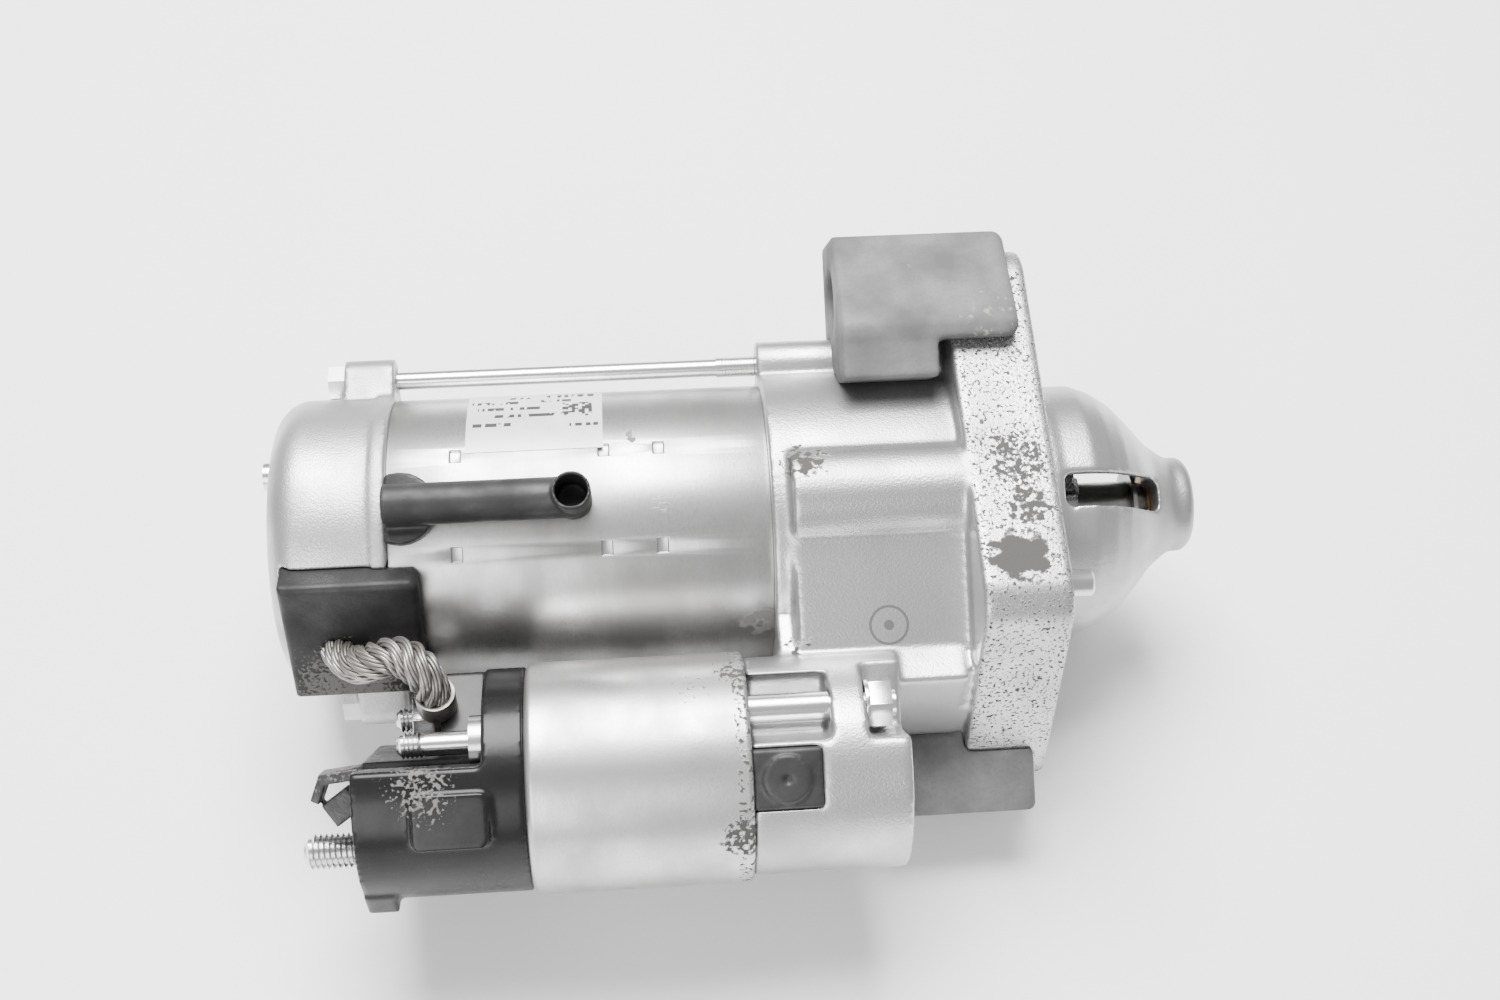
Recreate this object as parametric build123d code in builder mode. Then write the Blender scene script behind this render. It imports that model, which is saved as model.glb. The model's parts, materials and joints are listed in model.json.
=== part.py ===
from build123d import *
import math
import os

os.makedirs("parts", exist_ok=True)

# A pre-engaged starter motor with planetary reduction. The motor axis is the X axis and +X points out of the nose,
# and x = 0 is the mounting face of the flange. The solenoid lies beside the motor, in the -Y direction.
# Stations are x positions along the motor axis. All lengths are in millimetres and angles in degrees.

# ---- driving dimensions: motor ----
yoke_radius = 35.0
yoke_wall = 3.0
yoke_length = 89.9
housing_rear_x = -66.6
cover_length = 28.5
cover_radius = 36.0
cover_wall = 3.2
cover_rim_radius = 36.7
cover_rim_width = 3.5
cover_round = 8.0

# ---- driving dimensions: drive housing ----
flange_thickness = 21.0
housing_radius = 37.5
housing_wall = 5.5
throat_radius = 28.0
pilot_radius = 32.0
pilot_length = 3.5
nose_radius = 31.5
nose_straight_end = 12.0
nose_shoulder_x = 35.5
nose_end_x = 41.8
nose_boss_radius = 12.0
shoulder_x = -45.2
lug_turn = 34.35
lug_spacing = 108.0
lug_offset = 7.0
lug_radius = 11.5
lug_hole_radius = 5.25
corner_radius = 10.0
flange_far_radius = 41.0
dowel_radius = 3.2
dowel_seat_radius = 3.4
dowel_stand = 5.5

# ---- driving dimensions: solenoid ----
solenoid_offset = 67.3
case_radius = 26.5
case_wall = 2.2
case_rear_x = -125.5
case_front_x = -75.5
cap_radius = 25.5
cap_block_x = -163.2
cap_motor_x = -145.6
cap_trigger_x = -134.9
stud_circle = 20.5
stud_turn = 45.0
plate_rear_x = -56.0
plate_front_x = -49.2
bracket_front_x = -40.0
plunger_radius = 9.2
plunger_travel = 9.0

# ---- driving dimensions: gears, shaft and clutch ----
gear_module = 1.25
sun_teeth = 12
planet_teeth = 15
ring_teeth = 42
pressure_angle = 25.0
pinion_teeth = 11
pinion_module = 2.54
pinion_rear_x = -4.0
pinion_length = 16.0
shaft_radius = 6.5
drum_radius = 21.0

# ---- clearances ----
running = 0.05
slip = 0.1
free = 0.3

# ---- derived places ----
yoke_rear_x = housing_rear_x - yoke_length
yoke_bore = yoke_radius - yoke_wall
cover_rear_x = yoke_rear_x - cover_length
flange_rear_x = -flange_thickness
gear_bore = housing_radius - housing_wall
bolt_circle = yoke_radius + 5.0
bolt_hole = 2.75
bolt_shank = 2.215
bolt_thread = 2.5
half_lugs = lug_spacing / 2
carrier_radius = gear_module * (sun_teeth + planet_teeth) / 2
turn = math.radians(lug_turn)
sol_p = -solenoid_offset * math.cos(turn)
sol_q = solenoid_offset * math.sin(turn)


def across(x):
    """Sketch plane square to the motor axis at station x, with Y to the right and Z up."""
    return Plane.YZ.offset(x)


def lug_plane(x):
    """Sketch plane square to the motor axis whose first axis runs through both mounting lugs."""
    return Plane(origin=(x, 0, 0), x_dir=(0, math.cos(turn), math.sin(turn)), z_dir=(1, 0, 0))


def lug_to_row(p, q):
    """Y and Z of a point given in the lug plane."""
    return (p * math.cos(turn) - q * math.sin(turn), p * math.sin(turn) + q * math.cos(turn))


def disc(x0, x1, radius, bore=0.0, at=(0.0, 0.0), mode=Mode.ADD):
    """Round bar or tube along X between two stations."""
    with BuildSketch(across(x0)) as outline:
        with Locations(at):
            Circle(radius)
            if bore > 0:
                Circle(bore, mode=Mode.SUBTRACT)
    extrude(outline.sketch, amount=x1 - x0, mode=mode)


def hexagon(x0, x1, across_flats, bore, at):
    """Hexagon nut or bolt head along X, with a round hole when bore is above zero."""
    with BuildSketch(across(x0)) as outline:
        with Locations(at):
            RegularPolygon(across_flats / 2, 6, major_radius=False)
            if bore > 0:
                Circle(bore, mode=Mode.SUBTRACT)
    extrude(outline.sketch, amount=x1 - x0)


def hull(*circles):
    """Outline stretched round circles given as (p, q, radius), in the sketch that is open."""
    with BuildLine() as circles_line:
        for p, q, radius in circles:
            CenterArc((p, q), radius, 0, 360)
    with BuildSketch(mode=Mode.PRIVATE) as outline:
        make_hull(circles_line.edges())
    add(outline.sketch)


def turned(points, mode=Mode.ADD):
    """Solid of revolution about the motor axis from (x, radius) points."""
    with BuildSketch(Plane.XY) as outline:
        with BuildLine():
            Polyline(points, close=True)
        make_face()
    revolve(outline.sketch, axis=Axis.X, mode=mode)


def polar(radius, angle):
    """Y and Z of a point at an angle from +Y towards +Z."""
    return (radius * math.cos(math.radians(angle)), radius * math.sin(math.radians(angle)))


def outward(level, angle, x=0):
    """A sketch plane that faces outward at an angle round the motor axis, with its first axis along X."""
    return Plane(origin=(x, *polar(level, angle)), x_dir=(1, 0, 0), z_dir=(0, *polar(1, angle)))


def save(piece, name):
    """Labels a finished piece and writes its STEP file."""
    piece.part.label = name
    export_step(piece.part, "parts/" + name + ".step")


def involute(angle):
    return math.tan(angle) - angle


def tooth(teeth, module, tip, root, thinning):
    """One gear tooth pointing along the sketch's first axis, from under the root circle to the tip circle."""
    pitch = teeth * module / 2
    base = pitch * math.cos(math.radians(pressure_angle))
    half = math.pi / (2 * teeth) - thinning / (2 * pitch) + involute(math.radians(pressure_angle))
    start = max(base, root)
    radii = [start + (tip - start) * k / 3 for k in range(4)]
    flank = []
    for radius in radii:
        angle = half - involute(math.acos(min(1.0, base / radius)))
        flank.append((radius * math.cos(angle), radius * math.sin(angle)))
    inner = root - 0.4
    foot_angle = math.atan2(flank[0][1], flank[0][0])
    foot = (inner * math.cos(foot_angle), inner * math.sin(foot_angle))
    with BuildLine() as outline:
        Line(foot, flank[0])
        Spline(flank)
        ThreePointArc(flank[-1], (tip, 0), (flank[-1][0], -flank[-1][1]))
        Spline([(a, -b) for a, b in reversed(flank)])
        Line((flank[0][0], -flank[0][1]), (foot[0], -foot[1]))
        Line((foot[0], -foot[1]), foot)
    make_face(outline.edges())


def gear_face(teeth, module, tip, root, thinning):
    """Outline of a whole gear in the sketch that is open, its first tooth on the sketch's first axis."""
    Circle(root)
    with BuildSketch(mode=Mode.PRIVATE) as one:
        tooth(teeth, module, tip, root, thinning)
    with PolarLocations(0, teeth):
        add(one.sketch)


def through_bolt_places():
    """Y and Z of the two long bolts, on opposite sides of the yoke in line with the lugs."""
    return [polar(bolt_circle, lug_turn), polar(bolt_circle, lug_turn + 180)]


sol = (-solenoid_offset, 0.0)
studs = [
    lug_to_row(
        sol_p + stud_circle * math.cos(math.radians(a)),
        sol_q + stud_circle * math.sin(math.radians(a)),
    )
    for a in (stud_turn, stud_turn + 180)
]

# ================= drive housing =================
# One casting: gear case, mounting flange with two lugs, nose, and the bracket that carries the solenoid.
lever_half = 9.3
pivot_x = -42.0
pivot_y = -40.0
pivot_radius = 3.0
hub_radius = 4.6
skirt_radius = 25.0
shelf_reach = 33.7
shelf_height = 37.5
shelf_rear_x = -62.0
bulge_radius = 12.0
bulge_place = (6.0, 30.2)
corner_place = (-18.9, 45.0)
boss_rear_upper = -45.0
boss_radius = 9.0
web_rear_x = -40.0
plug_half = 6.8
plug_front_x = -60.0
plug_floor = 13.0
plug_top = 24.5
window_low = 8.0
window_high = 22.0
window_floor = 8.6
slot_width = 8.0
slot_turn = 115.0
slot_rear_x = 4.5
slot_front_x = 31.0
gear_window_width = 40.0
gear_window_turn = lug_turn - 90.0

with BuildPart() as housing:
    # flange, thick and hull-shaped, with softened edges
    with BuildSketch(lug_plane(flange_rear_x)):
        hull(
            (half_lugs, lug_offset, lug_radius),
            (-half_lugs, lug_offset, lug_radius),
            (corner_place[0], corner_place[1], corner_radius),
            (0, 0, flange_far_radius),
        )
    extrude(amount=flange_thickness)
    fillet(housing.edges(), radius=1.2)
    # gear case with its lengthwise bulge, shelf and bolt bosses
    disc(housing_rear_x, flange_rear_x + 2, housing_radius)
    with BuildSketch(lug_plane(shelf_rear_x)):
        with Locations(bulge_place):
            Circle(bulge_radius)
        with Locations((-shelf_reach / 2, shelf_height - 14)):
            RectangleRounded(shelf_reach, 28, 2.0)
    extrude(amount=flange_rear_x + 2 - shelf_rear_x)
    for place in through_bolt_places():
        disc(housing_rear_x, flange_rear_x + 2, 6.0, at=place)
    with BuildSketch(lug_plane(housing_rear_x)):
        Rectangle(2 * bolt_circle, 11)
    extrude(amount=flange_rear_x + 2 - housing_rear_x)
    # web from the gear case to the lower lug, and the two lug bosses
    with BuildSketch(lug_plane(web_rear_x)):
        hull((-half_lugs, lug_offset, lug_radius - 1.5), (0, 0, housing_radius - 0.5))
    extrude(amount=flange_rear_x + 2 - web_rear_x)
    with BuildSketch(lug_plane(boss_rear_upper)):
        hull((half_lugs, lug_offset, boss_radius), (housing_radius - 5, 4, boss_radius + 2))
    extrude(amount=flange_rear_x + 2 - boss_rear_upper)
    # solenoid bracket: round skirt, closed front body and the neck that joins it to the gear case
    disc(case_front_x, bracket_front_x, skirt_radius, at=sol)
    with Locations(((housing_rear_x + bracket_front_x) / 2, -45.0, 0)):
        Box(bracket_front_x - housing_rear_x, 30, 28)
    with Locations(((bracket_front_x + flange_rear_x) / 2 - 3, -44.0, 0)):
        Box(flange_rear_x - bracket_front_x + 2, 22, 28)
    # nose, a dome that ends in the boss for the shaft's front bush
    disc(0, pilot_length, pilot_radius)
    turned(
        [(-2, 20), (-2, nose_radius), (nose_straight_end, nose_radius), (17, 29.6), (21.5, 26.6), (26, 22.0)]
        + [(31, 16.2), (nose_shoulder_x, nose_boss_radius + 0.8), (37, nose_boss_radius)]
        + [(nose_end_x - 1.5, nose_boss_radius), (nose_end_x, nose_boss_radius - 1.5), (nose_end_x, 0), (-2, 0)]
    )
    # bores
    disc(housing_rear_x, shoulder_x, gear_bore, mode=Mode.SUBTRACT)
    turned(
        [(shoulder_x, 0), (shoulder_x, throat_radius), (nose_straight_end - 1, throat_radius)]
        + [(17, 26.2), (21.5, 23.2), (26, 18.6), (29.5, 14.0), (29.5, 0)],
        mode=Mode.SUBTRACT,
    )
    disc(29, nose_end_x - 1.8, 8.0, mode=Mode.SUBTRACT)
    # lever chamber
    with BuildSketch(Plane.XY.offset(-lever_half)):
        with BuildLine():
            Polyline(
                (case_front_x, -77),
                (bracket_front_x - 2.6, -77),
                (bracket_front_x - 2.6, -56),
                (-31.5, -47),
                (-31.5, -26),
                (shoulder_x + 0.4, -26),
                (shoulder_x + 0.4, -38.6),
                (housing_rear_x + 2.6, -38.6),
                (housing_rear_x + 2.6, -46),
                (case_front_x, -46),
                close=True,
            )
        make_face()
    extrude(amount=2 * lever_half, mode=Mode.SUBTRACT)
    with BuildSketch(Plane.XY.offset(-lever_half)):
        with Locations((pivot_x, pivot_y)):
            Circle(hub_radius + 1.0)
    extrude(amount=2 * lever_half, mode=Mode.SUBTRACT)
    # windows that leave the solenoid studs open, and pockets for their nuts
    for side in (0, 180):
        with BuildSketch(lug_plane(case_front_x)):
            with Locations(Location((sol_p, sol_q), side)):
                with Locations(((window_low + window_high) / 2, window_floor + 12)):
                    RectangleRounded(window_high - window_low, 24, 2.5)
        extrude(amount=plate_rear_x - 1.5 - case_front_x, mode=Mode.SUBTRACT)
        with BuildSketch(lug_plane(plate_front_x)):
            with Locations(Location((sol_p, sol_q), side)):
                with Locations(((window_low + 30) / 2, window_floor + 10)):
                    RectangleRounded(30 - window_low, 20, 2.5)
        extrude(amount=bracket_front_x + 0.01 - plate_front_x, mode=Mode.SUBTRACT)
    # pocket for the rubber plug
    with BuildSketch(lug_plane(case_front_x)):
        with Locations((sol_p, sol_q + (plug_floor + 30) / 2)):
            Rectangle(2 * plug_half, 30 - plug_floor)
    extrude(amount=plug_front_x - case_front_x, mode=Mode.SUBTRACT)
    # holes: long bolts, studs, lever pivot, lugs, dowel
    for place in through_bolt_places():
        disc(housing_rear_x, housing_rear_x + 15, bolt_thread, at=place, mode=Mode.SUBTRACT)
    for place in studs:
        disc(plate_rear_x - 4, plate_front_x + 1, 3.2, at=place, mode=Mode.SUBTRACT)
    with BuildSketch(Plane.XY.offset(-lever_half - 3.5)):
        with Locations((pivot_x, pivot_y)):
            Circle(pivot_radius)
    extrude(amount=2 * lever_half + 7, mode=Mode.SUBTRACT)
    with BuildSketch(lug_plane(boss_rear_upper - 1)):
        with Locations((half_lugs, lug_offset), (-half_lugs, lug_offset)):
            Circle(lug_hole_radius)
    extrude(amount=-boss_rear_upper + 2, mode=Mode.SUBTRACT)
    with BuildSketch(lug_plane(-8)):
        with Locations((corner_place[0] + 2.4, corner_place[1] + 3.0)):
            Circle(dowel_seat_radius)
    extrude(amount=8, mode=Mode.SUBTRACT)
    # drain slot on the near side and the wide window where the pinion meets the engine's ring gear
    with BuildSketch(Plane(origin=(0, 0, 0), x_dir=(1, 0, 0), z_dir=(0, *polar(1, slot_turn)))):
        with Locations(((slot_rear_x + slot_front_x) / 2, 0)):
            RectangleRounded(slot_front_x - slot_rear_x, slot_width, 1.5)
    extrude(amount=40, mode=Mode.SUBTRACT)
    with BuildSketch(outward(8.5, gear_window_turn)):
        with Locations(((slot_rear_x + 29) / 2, 0)):
            RectangleRounded(29 - slot_rear_x, gear_window_width, 2.0)
    extrude(amount=30, mode=Mode.SUBTRACT)
save(housing, "drive_housing")

# Rubber covers pushed over the two lug bosses.
cover_rear_upper = -47.8
cover_front_upper = -4.5
skirt_length = 23.3
with BuildPart() as upper_cover:
    with BuildSketch(lug_plane(cover_rear_upper)) as cover_outline:
        with BuildLine():
            Polyline((70, -6), (70, 15), (46.7, 31), (42.6, 30.8), (42.6, -6), close=True)
        make_face()
        fillet(cover_outline.vertices(), radius=1.0)
    extrude(amount=cover_front_upper - cover_rear_upper)
    fillet(upper_cover.edges().group_by(Axis.X)[-1], radius=3.0)
    with BuildSketch(lug_plane(cover_rear_upper)) as skirt_outline:
        with BuildLine():
            Polyline((44, -4), (44, 30.6), (33.6, 30.3), (33.6, 14), (42, -4), close=True)
        make_face()
        fillet(skirt_outline.vertices().group_by(Axis.X)[0], radius=1.0)
    extrude(amount=skirt_length)
    add(housing.part, mode=Mode.SUBTRACT)
    with BuildSketch(lug_plane(cover_rear_upper)):
        with Locations((half_lugs, lug_offset)):
            Circle(8.2)
    extrude(amount=-cover_rear_upper, mode=Mode.SUBTRACT)
save(upper_cover, "upper_lug_cover")

cover_rear_lower = -38.5
cover_front_lower = -4.0
with BuildPart() as lower_cover:
    with BuildSketch(lug_plane(cover_rear_lower)):
        with Locations((-half_lugs - 6, lug_offset)):
            Rectangle(26, 27)
    extrude(amount=cover_front_lower - cover_rear_lower)
    fillet(lower_cover.edges(), radius=1.5)
    add(housing.part, mode=Mode.SUBTRACT)
    with BuildSketch(lug_plane(cover_rear_lower)):
        with Locations((-half_lugs, lug_offset)):
            Circle(8.2)
    extrude(amount=-cover_rear_lower, mode=Mode.SUBTRACT)
save(lower_cover, "lower_lug_cover")

with BuildPart() as dowel:
    dowel_at = lug_to_row(corner_place[0] + 2.4, corner_place[1] + 3.0)
    disc(-8, 0, dowel_seat_radius, at=dowel_at)
    disc(0, dowel_stand, dowel_radius, at=dowel_at)
    chamfer(dowel.faces().sort_by(Axis.X)[-1].edges(), 0.6)
save(dowel, "locating_dowel")

with BuildPart() as nose_bush:
    disc(30.5, nose_end_x - 1.8, 8.0, bore=5.95 + running)
save(nose_bush, "nose_bush")

with BuildPart() as pivot:
    with BuildSketch(Plane.XY.offset(-lever_half - 3.5)):
        with Locations((pivot_x, pivot_y)):
            Circle(pivot_radius)
    extrude(amount=2 * lever_half + 7)
save(pivot, "lever_pivot")

# Rubber plug that closes the lever chamber, with a round button on its outer face.
with BuildPart() as plug:
    with BuildSketch(lug_plane(case_front_x)):
        with Locations((sol_p, sol_q + (plug_floor + plug_top) / 2)):
            RectangleRounded(2 * plug_half, plug_top - plug_floor, 0.8)
    extrude(amount=plug_front_x - case_front_x)
    plug_plane = Plane(
        origin=(-68.0, *lug_to_row(sol_p, sol_q + plug_top)),
        x_dir=(1, 0, 0),
        z_dir=(0, *lug_to_row(0, 1)),
    )
    with BuildSketch(plug_plane):
        Circle(5.3)
    extrude(amount=0.8)
    with BuildSketch(plug_plane):
        Circle(1.1)
    extrude(amount=0.8, mode=Mode.SUBTRACT)
save(plug, "bracket_plug")

# ================= motor body =================
with BuildPart() as yoke:
    disc(yoke_rear_x, housing_rear_x, yoke_radius, bore=yoke_bore)
    # stake pockets that hold the magnets' carrier
    for station in (-92.5, -105.5, -140.4):
        for angle in (90, 130, 205, 330):
            with BuildSketch(outward(yoke_radius - 0.9, angle, station)):
                Rectangle(2.6, 3.6)
            extrude(amount=4, mode=Mode.SUBTRACT)
save(yoke, "yoke_tube")

magnet_count = 6
magnet_inner = 26.2
magnet_rear_x = yoke_rear_x + 12
magnet_front_x = housing_rear_x - 12
with BuildPart() as magnets:
    with BuildSketch(across(magnet_rear_x)):
        Circle(yoke_bore)
        Circle(magnet_inner, mode=Mode.SUBTRACT)
        with PolarLocations(29, magnet_count, start_angle=30):
            Rectangle(20, 7, mode=Mode.SUBTRACT)
    extrude(amount=magnet_front_x - magnet_rear_x)
save(magnets, "field_magnets")

bearing_bore = 4.0
front_bearing_radius = 11.0
plate_start_x = -70.6
ring_rear_x = -64.6
with BuildPart() as centre_plate:
    disc(plate_start_x, ring_rear_x, yoke_bore, bore=front_bearing_radius)
    disc(ring_rear_x - 1, ring_rear_x, yoke_bore - 2, bore=front_bearing_radius)
save(centre_plate, "centre_plate")

with BuildPart() as front_bearing:
    disc(plate_start_x, ring_rear_x, front_bearing_radius, bore=5.0 + running)
save(front_bearing, "armature_front_bearing")

planet_rear_x = -62.5
planet_front_x = -52.5
ring_teeth_front_x = -51.0
ring_pitch = ring_teeth * gear_module / 2
with BuildPart() as ring_gear:
    disc(ring_rear_x, -48.2, gear_bore, bore=29.0)
    with BuildSketch(across(ring_rear_x)):
        Circle(30)
        gear_cut = [ring_teeth, gear_module, ring_pitch + 1.25, ring_pitch - 1.0, -0.1]
        with BuildSketch(mode=Mode.PRIVATE) as ring_space:
            gear_face(*gear_cut)
        add(ring_space.sketch, mode=Mode.SUBTRACT)
    extrude(amount=ring_teeth_front_x - ring_rear_x)
save(ring_gear, "ring_gear")

race_radius = 12.0
with BuildPart() as bearing_plate:
    disc(-48.2, shoulder_x, gear_bore, bore=race_radius)
save(bearing_plate, "shaft_bearing_plate")

with BuildPart() as shaft_bearing:
    disc(-48.2, shoulder_x, race_radius, bore=9.0 + running)
save(shaft_bearing, "shaft_bearing")

ear_rear_x = yoke_rear_x - 12.5
with BuildPart() as cover:
    with BuildSketch(Plane.XY):
        with BuildLine():
            Line((yoke_rear_x, 0), (yoke_rear_x, cover_radius))
            Line((yoke_rear_x, cover_radius), (cover_rear_x + cover_round, cover_radius))
            RadiusArc((cover_rear_x + cover_round, cover_radius), (cover_rear_x, cover_radius - cover_round), -cover_round)
            Line((cover_rear_x, cover_radius - cover_round), (cover_rear_x, 0))
            Line((cover_rear_x, 0), (yoke_rear_x, 0))
        make_face()
    revolve(axis=Axis.X)
    disc(yoke_rear_x - cover_rim_width, yoke_rear_x, cover_rim_radius)
    with BuildSketch(lug_plane(ear_rear_x)):
        hull((bolt_circle, 0, 5.5), (24, 0, 11))
        hull((-bolt_circle, 0, 5.5), (-24, 0, 11))
    extrude(amount=yoke_rear_x - ear_rear_x)
    disc(yoke_rear_x, cover_rear_x + 10, cover_radius - cover_wall, mode=Mode.SUBTRACT)
    disc(cover_rear_x + 10, cover_rear_x + cover_wall, cover_radius - cover_wall - 6, mode=Mode.SUBTRACT)
    disc(cover_rear_x + 1, cover_rear_x + 11, 14.0)
    disc(cover_rear_x + cover_wall, cover_rear_x + 11, 11.0, mode=Mode.SUBTRACT)
    for place in through_bolt_places():
        disc(ear_rear_x - 1, yoke_rear_x, bolt_hole, at=place, mode=Mode.SUBTRACT)
        disc(ear_rear_x - 8, ear_rear_x, 5.0, at=place, mode=Mode.SUBTRACT)
    # spigot that centres the cover in the yoke
    disc(yoke_rear_x, yoke_rear_x + 3, yoke_bore, bore=yoke_bore - 2)
    disc(yoke_rear_x - 2, yoke_rear_x, cover_radius - 1, bore=yoke_bore - 2)
    # square opening where the motor lead's grommet sits
    grommet_angle = 161.5
    grommet_rear_x = -181.5
    grommet_front_x = -149.3
    grommet_half = 17.0
    grommet_inner = 25.5
    grommet_outer = 38.0
    grommet_plane = outward(grommet_inner, grommet_angle)
    with BuildSketch(grommet_plane):
        with Locations(((grommet_rear_x + yoke_rear_x + 4) / 2, 0)):
            Rectangle(yoke_rear_x + 4 - grommet_rear_x, 2 * grommet_half)
    extrude(amount=20, mode=Mode.SUBTRACT)
save(cover, "rear_cover")

with BuildPart() as grommet:
    with BuildSketch(grommet_plane):
        with Locations(((grommet_rear_x + yoke_rear_x) / 2, 0)):
            Rectangle(yoke_rear_x - grommet_rear_x, 2 * grommet_half)
    extrude(amount=grommet_outer - grommet_inner)
    with BuildSketch(grommet_plane.offset(6)):
        with Locations(((yoke_rear_x + grommet_front_x) / 2 - 1, 0)):
            RectangleRounded(grommet_front_x - yoke_rear_x + 2, 2 * grommet_half, 2.5)
    extrude(amount=grommet_outer - grommet_inner - 6)
    disc(yoke_rear_x - 0.01, grommet_front_x + 1, yoke_radius, mode=Mode.SUBTRACT)
    chamfer(grommet.faces().filter_by(grommet_plane).sort_by(Axis.Y)[0].edges(), 1.0)

with BuildPart() as rear_bearing:
    disc(cover_rear_x + cover_wall, cover_rear_x + 11, 11.0, bore=bearing_bore + running)
save(rear_bearing, "armature_rear_bearing")

commutator_radius = 13.0
commutator_rear_x = -171.0
commutator_front_x = -153.5
brush_angles = (45, 135, 225, 315)
with BuildPart() as holder:
    disc(yoke_rear_x - 2, yoke_rear_x + 0.5, yoke_bore - 2, bore=16.0)
    for angle in brush_angles:
        with BuildSketch(outward(15, angle)):
            with Locations((yoke_rear_x - 7.5, 0)):
                Rectangle(11.1, 13)
                Rectangle(8, 9, mode=Mode.SUBTRACT)
        extrude(amount=9.5)
    with BuildSketch(grommet_plane.offset(-free)):
        with Locations((yoke_rear_x, 0)):
            Rectangle(40, 2 * grommet_half + 2 * free)
    extrude(amount=20, mode=Mode.SUBTRACT)
save(holder, "brush_holder")

with BuildPart() as brushes:
    for angle in brush_angles:
        with BuildSketch(outward(commutator_radius + 0.05, angle)):
            with Locations((yoke_rear_x - 7.5, 0)):
                Rectangle(7.9, 8.9)
        extrude(amount=7.5)
    disc(-172, -150, commutator_radius + 0.04, mode=Mode.SUBTRACT)
save(brushes, "brushes")

with BuildPart() as brush_springs:
    for angle in brush_angles:
        for level in (20.8, 22.4, 24.0):
            with BuildSketch(outward(level, angle)):
                with Locations((yoke_rear_x - 7.5, 0)):
                    Circle(3.6)
                    Circle(2.6, mode=Mode.SUBTRACT)
            extrude(amount=1.6 if level < 24 else 0.8)
save(brush_springs, "brush_springs")

bolt_front_x = housing_rear_x + 14.5
with BuildPart() as bolts:
    for place in through_bolt_places():
        hexagon(ear_rear_x - 4, ear_rear_x, 8.0, 0, place)
        disc(ear_rear_x, housing_rear_x - 10, bolt_shank, at=place)
        disc(housing_rear_x - 10, bolt_front_x, bolt_thread, at=place)
save(bolts, "through_bolts")

screw_places = [polar(24.5, 80), polar(24.5, 260)]
with BuildPart() as cover_screws:
    for place in screw_places:
        disc(cover_rear_x - 1.8, cover_rear_x, 3.4, at=place)
        with BuildSketch(across(cover_rear_x - 1.8)):
            with Locations(place):
                RectangleRounded(4.0, 0.9, 0.3)
                RectangleRounded(0.9, 4.0, 0.3)
        extrude(amount=1.0, mode=Mode.SUBTRACT)
save(cover_screws, "cover_screws")

# Rubber drain hose on the yoke: a round foot, an arm along the yoke and a spout that points outwards.
hose_angle = 111.7
foot_radius = 8.5
arm_radius = 4.9
arm_level = yoke_radius + 5.2
spout_x = -113.0
spout_radius = 4.55
spout_bore = 3.75
foot_x = yoke_rear_x + 3.5
with BuildPart() as hose:
    hose_plane = outward(yoke_radius - 3, hose_angle, foot_x)
    with BuildSketch(hose_plane):
        Circle(foot_radius)
        with Locations((-foot_radius - 3.5, 0)):
            Rectangle(2 * foot_radius, 2 * foot_radius + 2, mode=Mode.SUBTRACT)
    extrude(amount=5.5)
    disc(yoke_rear_x, spout_x, arm_radius, at=polar(arm_level, hose_angle))
    spout_plane = outward(arm_level - 4.6, hose_angle, spout_x)
    with BuildSketch(spout_plane):
        Circle(spout_radius)
    extrude(amount=12)
    with BuildSketch(spout_plane.offset(2)):
        Circle(spout_bore)
    extrude(amount=12, mode=Mode.SUBTRACT)
    disc(yoke_rear_x - 1, spout_x + 8, yoke_radius, mode=Mode.SUBTRACT)
save(hose, "drain_hose")

label_rear_x = -138.0
label_front_x = -105.5
with BuildPart() as label:
    with BuildSketch(across(label_rear_x)):
        with BuildLine():
            CenterArc((0, 0), yoke_radius, 46, 43)
            CenterArc((0, 0), yoke_radius + 0.15, 46, 43)
            Line(polar(yoke_radius, 46), polar(yoke_radius + 0.15, 46))
            Line(polar(yoke_radius, 89), polar(yoke_radius + 0.15, 89))
        make_face()
    extrude(amount=label_front_x - label_rear_x)
save(label, "rating_label")

# ================= armature =================
sun_pitch = sun_teeth * gear_module / 2
with BuildPart() as armature_shaft:
    disc(cover_rear_x + cover_wall + 0.5, commutator_rear_x, bearing_bore)
    disc(commutator_rear_x, plate_start_x - 1, 6.0)
    disc(plate_start_x - 1, ring_rear_x + 1, 5.0)
    with BuildSketch(across(ring_rear_x + 1)):
        gear_face(sun_teeth, gear_module, sun_pitch + 1.0, sun_pitch - 1.25, 0.15)
    extrude(amount=planet_front_x + 0.2 - ring_rear_x - 1)
    disc(planet_front_x + 0.2, planet_front_x + 6, 3.5)
save(armature_shaft, "armature_shaft")

core_radius = 25.4
core_rear_x = -144.0
core_front_x = -82.0
slot_count = 24
with BuildPart() as core:
    with BuildSketch(across(core_rear_x)):
        Circle(core_radius)
        Circle(6.0, mode=Mode.SUBTRACT)
        with PolarLocations(core_radius - 4.4, slot_count):
            Rectangle(6.4, 2.6, mode=Mode.SUBTRACT)
        with PolarLocations(core_radius, slot_count):
            Rectangle(3, 1.0, mode=Mode.SUBTRACT)
    extrude(amount=core_front_x - core_rear_x)
save(core, "armature_core")

with BuildPart() as windings:
    disc(-149.5, core_rear_x, core_radius - 1.2, bore=14.0)
    disc(core_front_x, -74.5, core_radius - 1.2, bore=14.0)
    with BuildSketch(across(core_rear_x)):
        with PolarLocations(core_radius - 4.4, slot_count):
            Rectangle(6.2, 2.4)
    extrude(amount=core_front_x - core_rear_x)
save(windings, "armature_windings")

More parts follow.
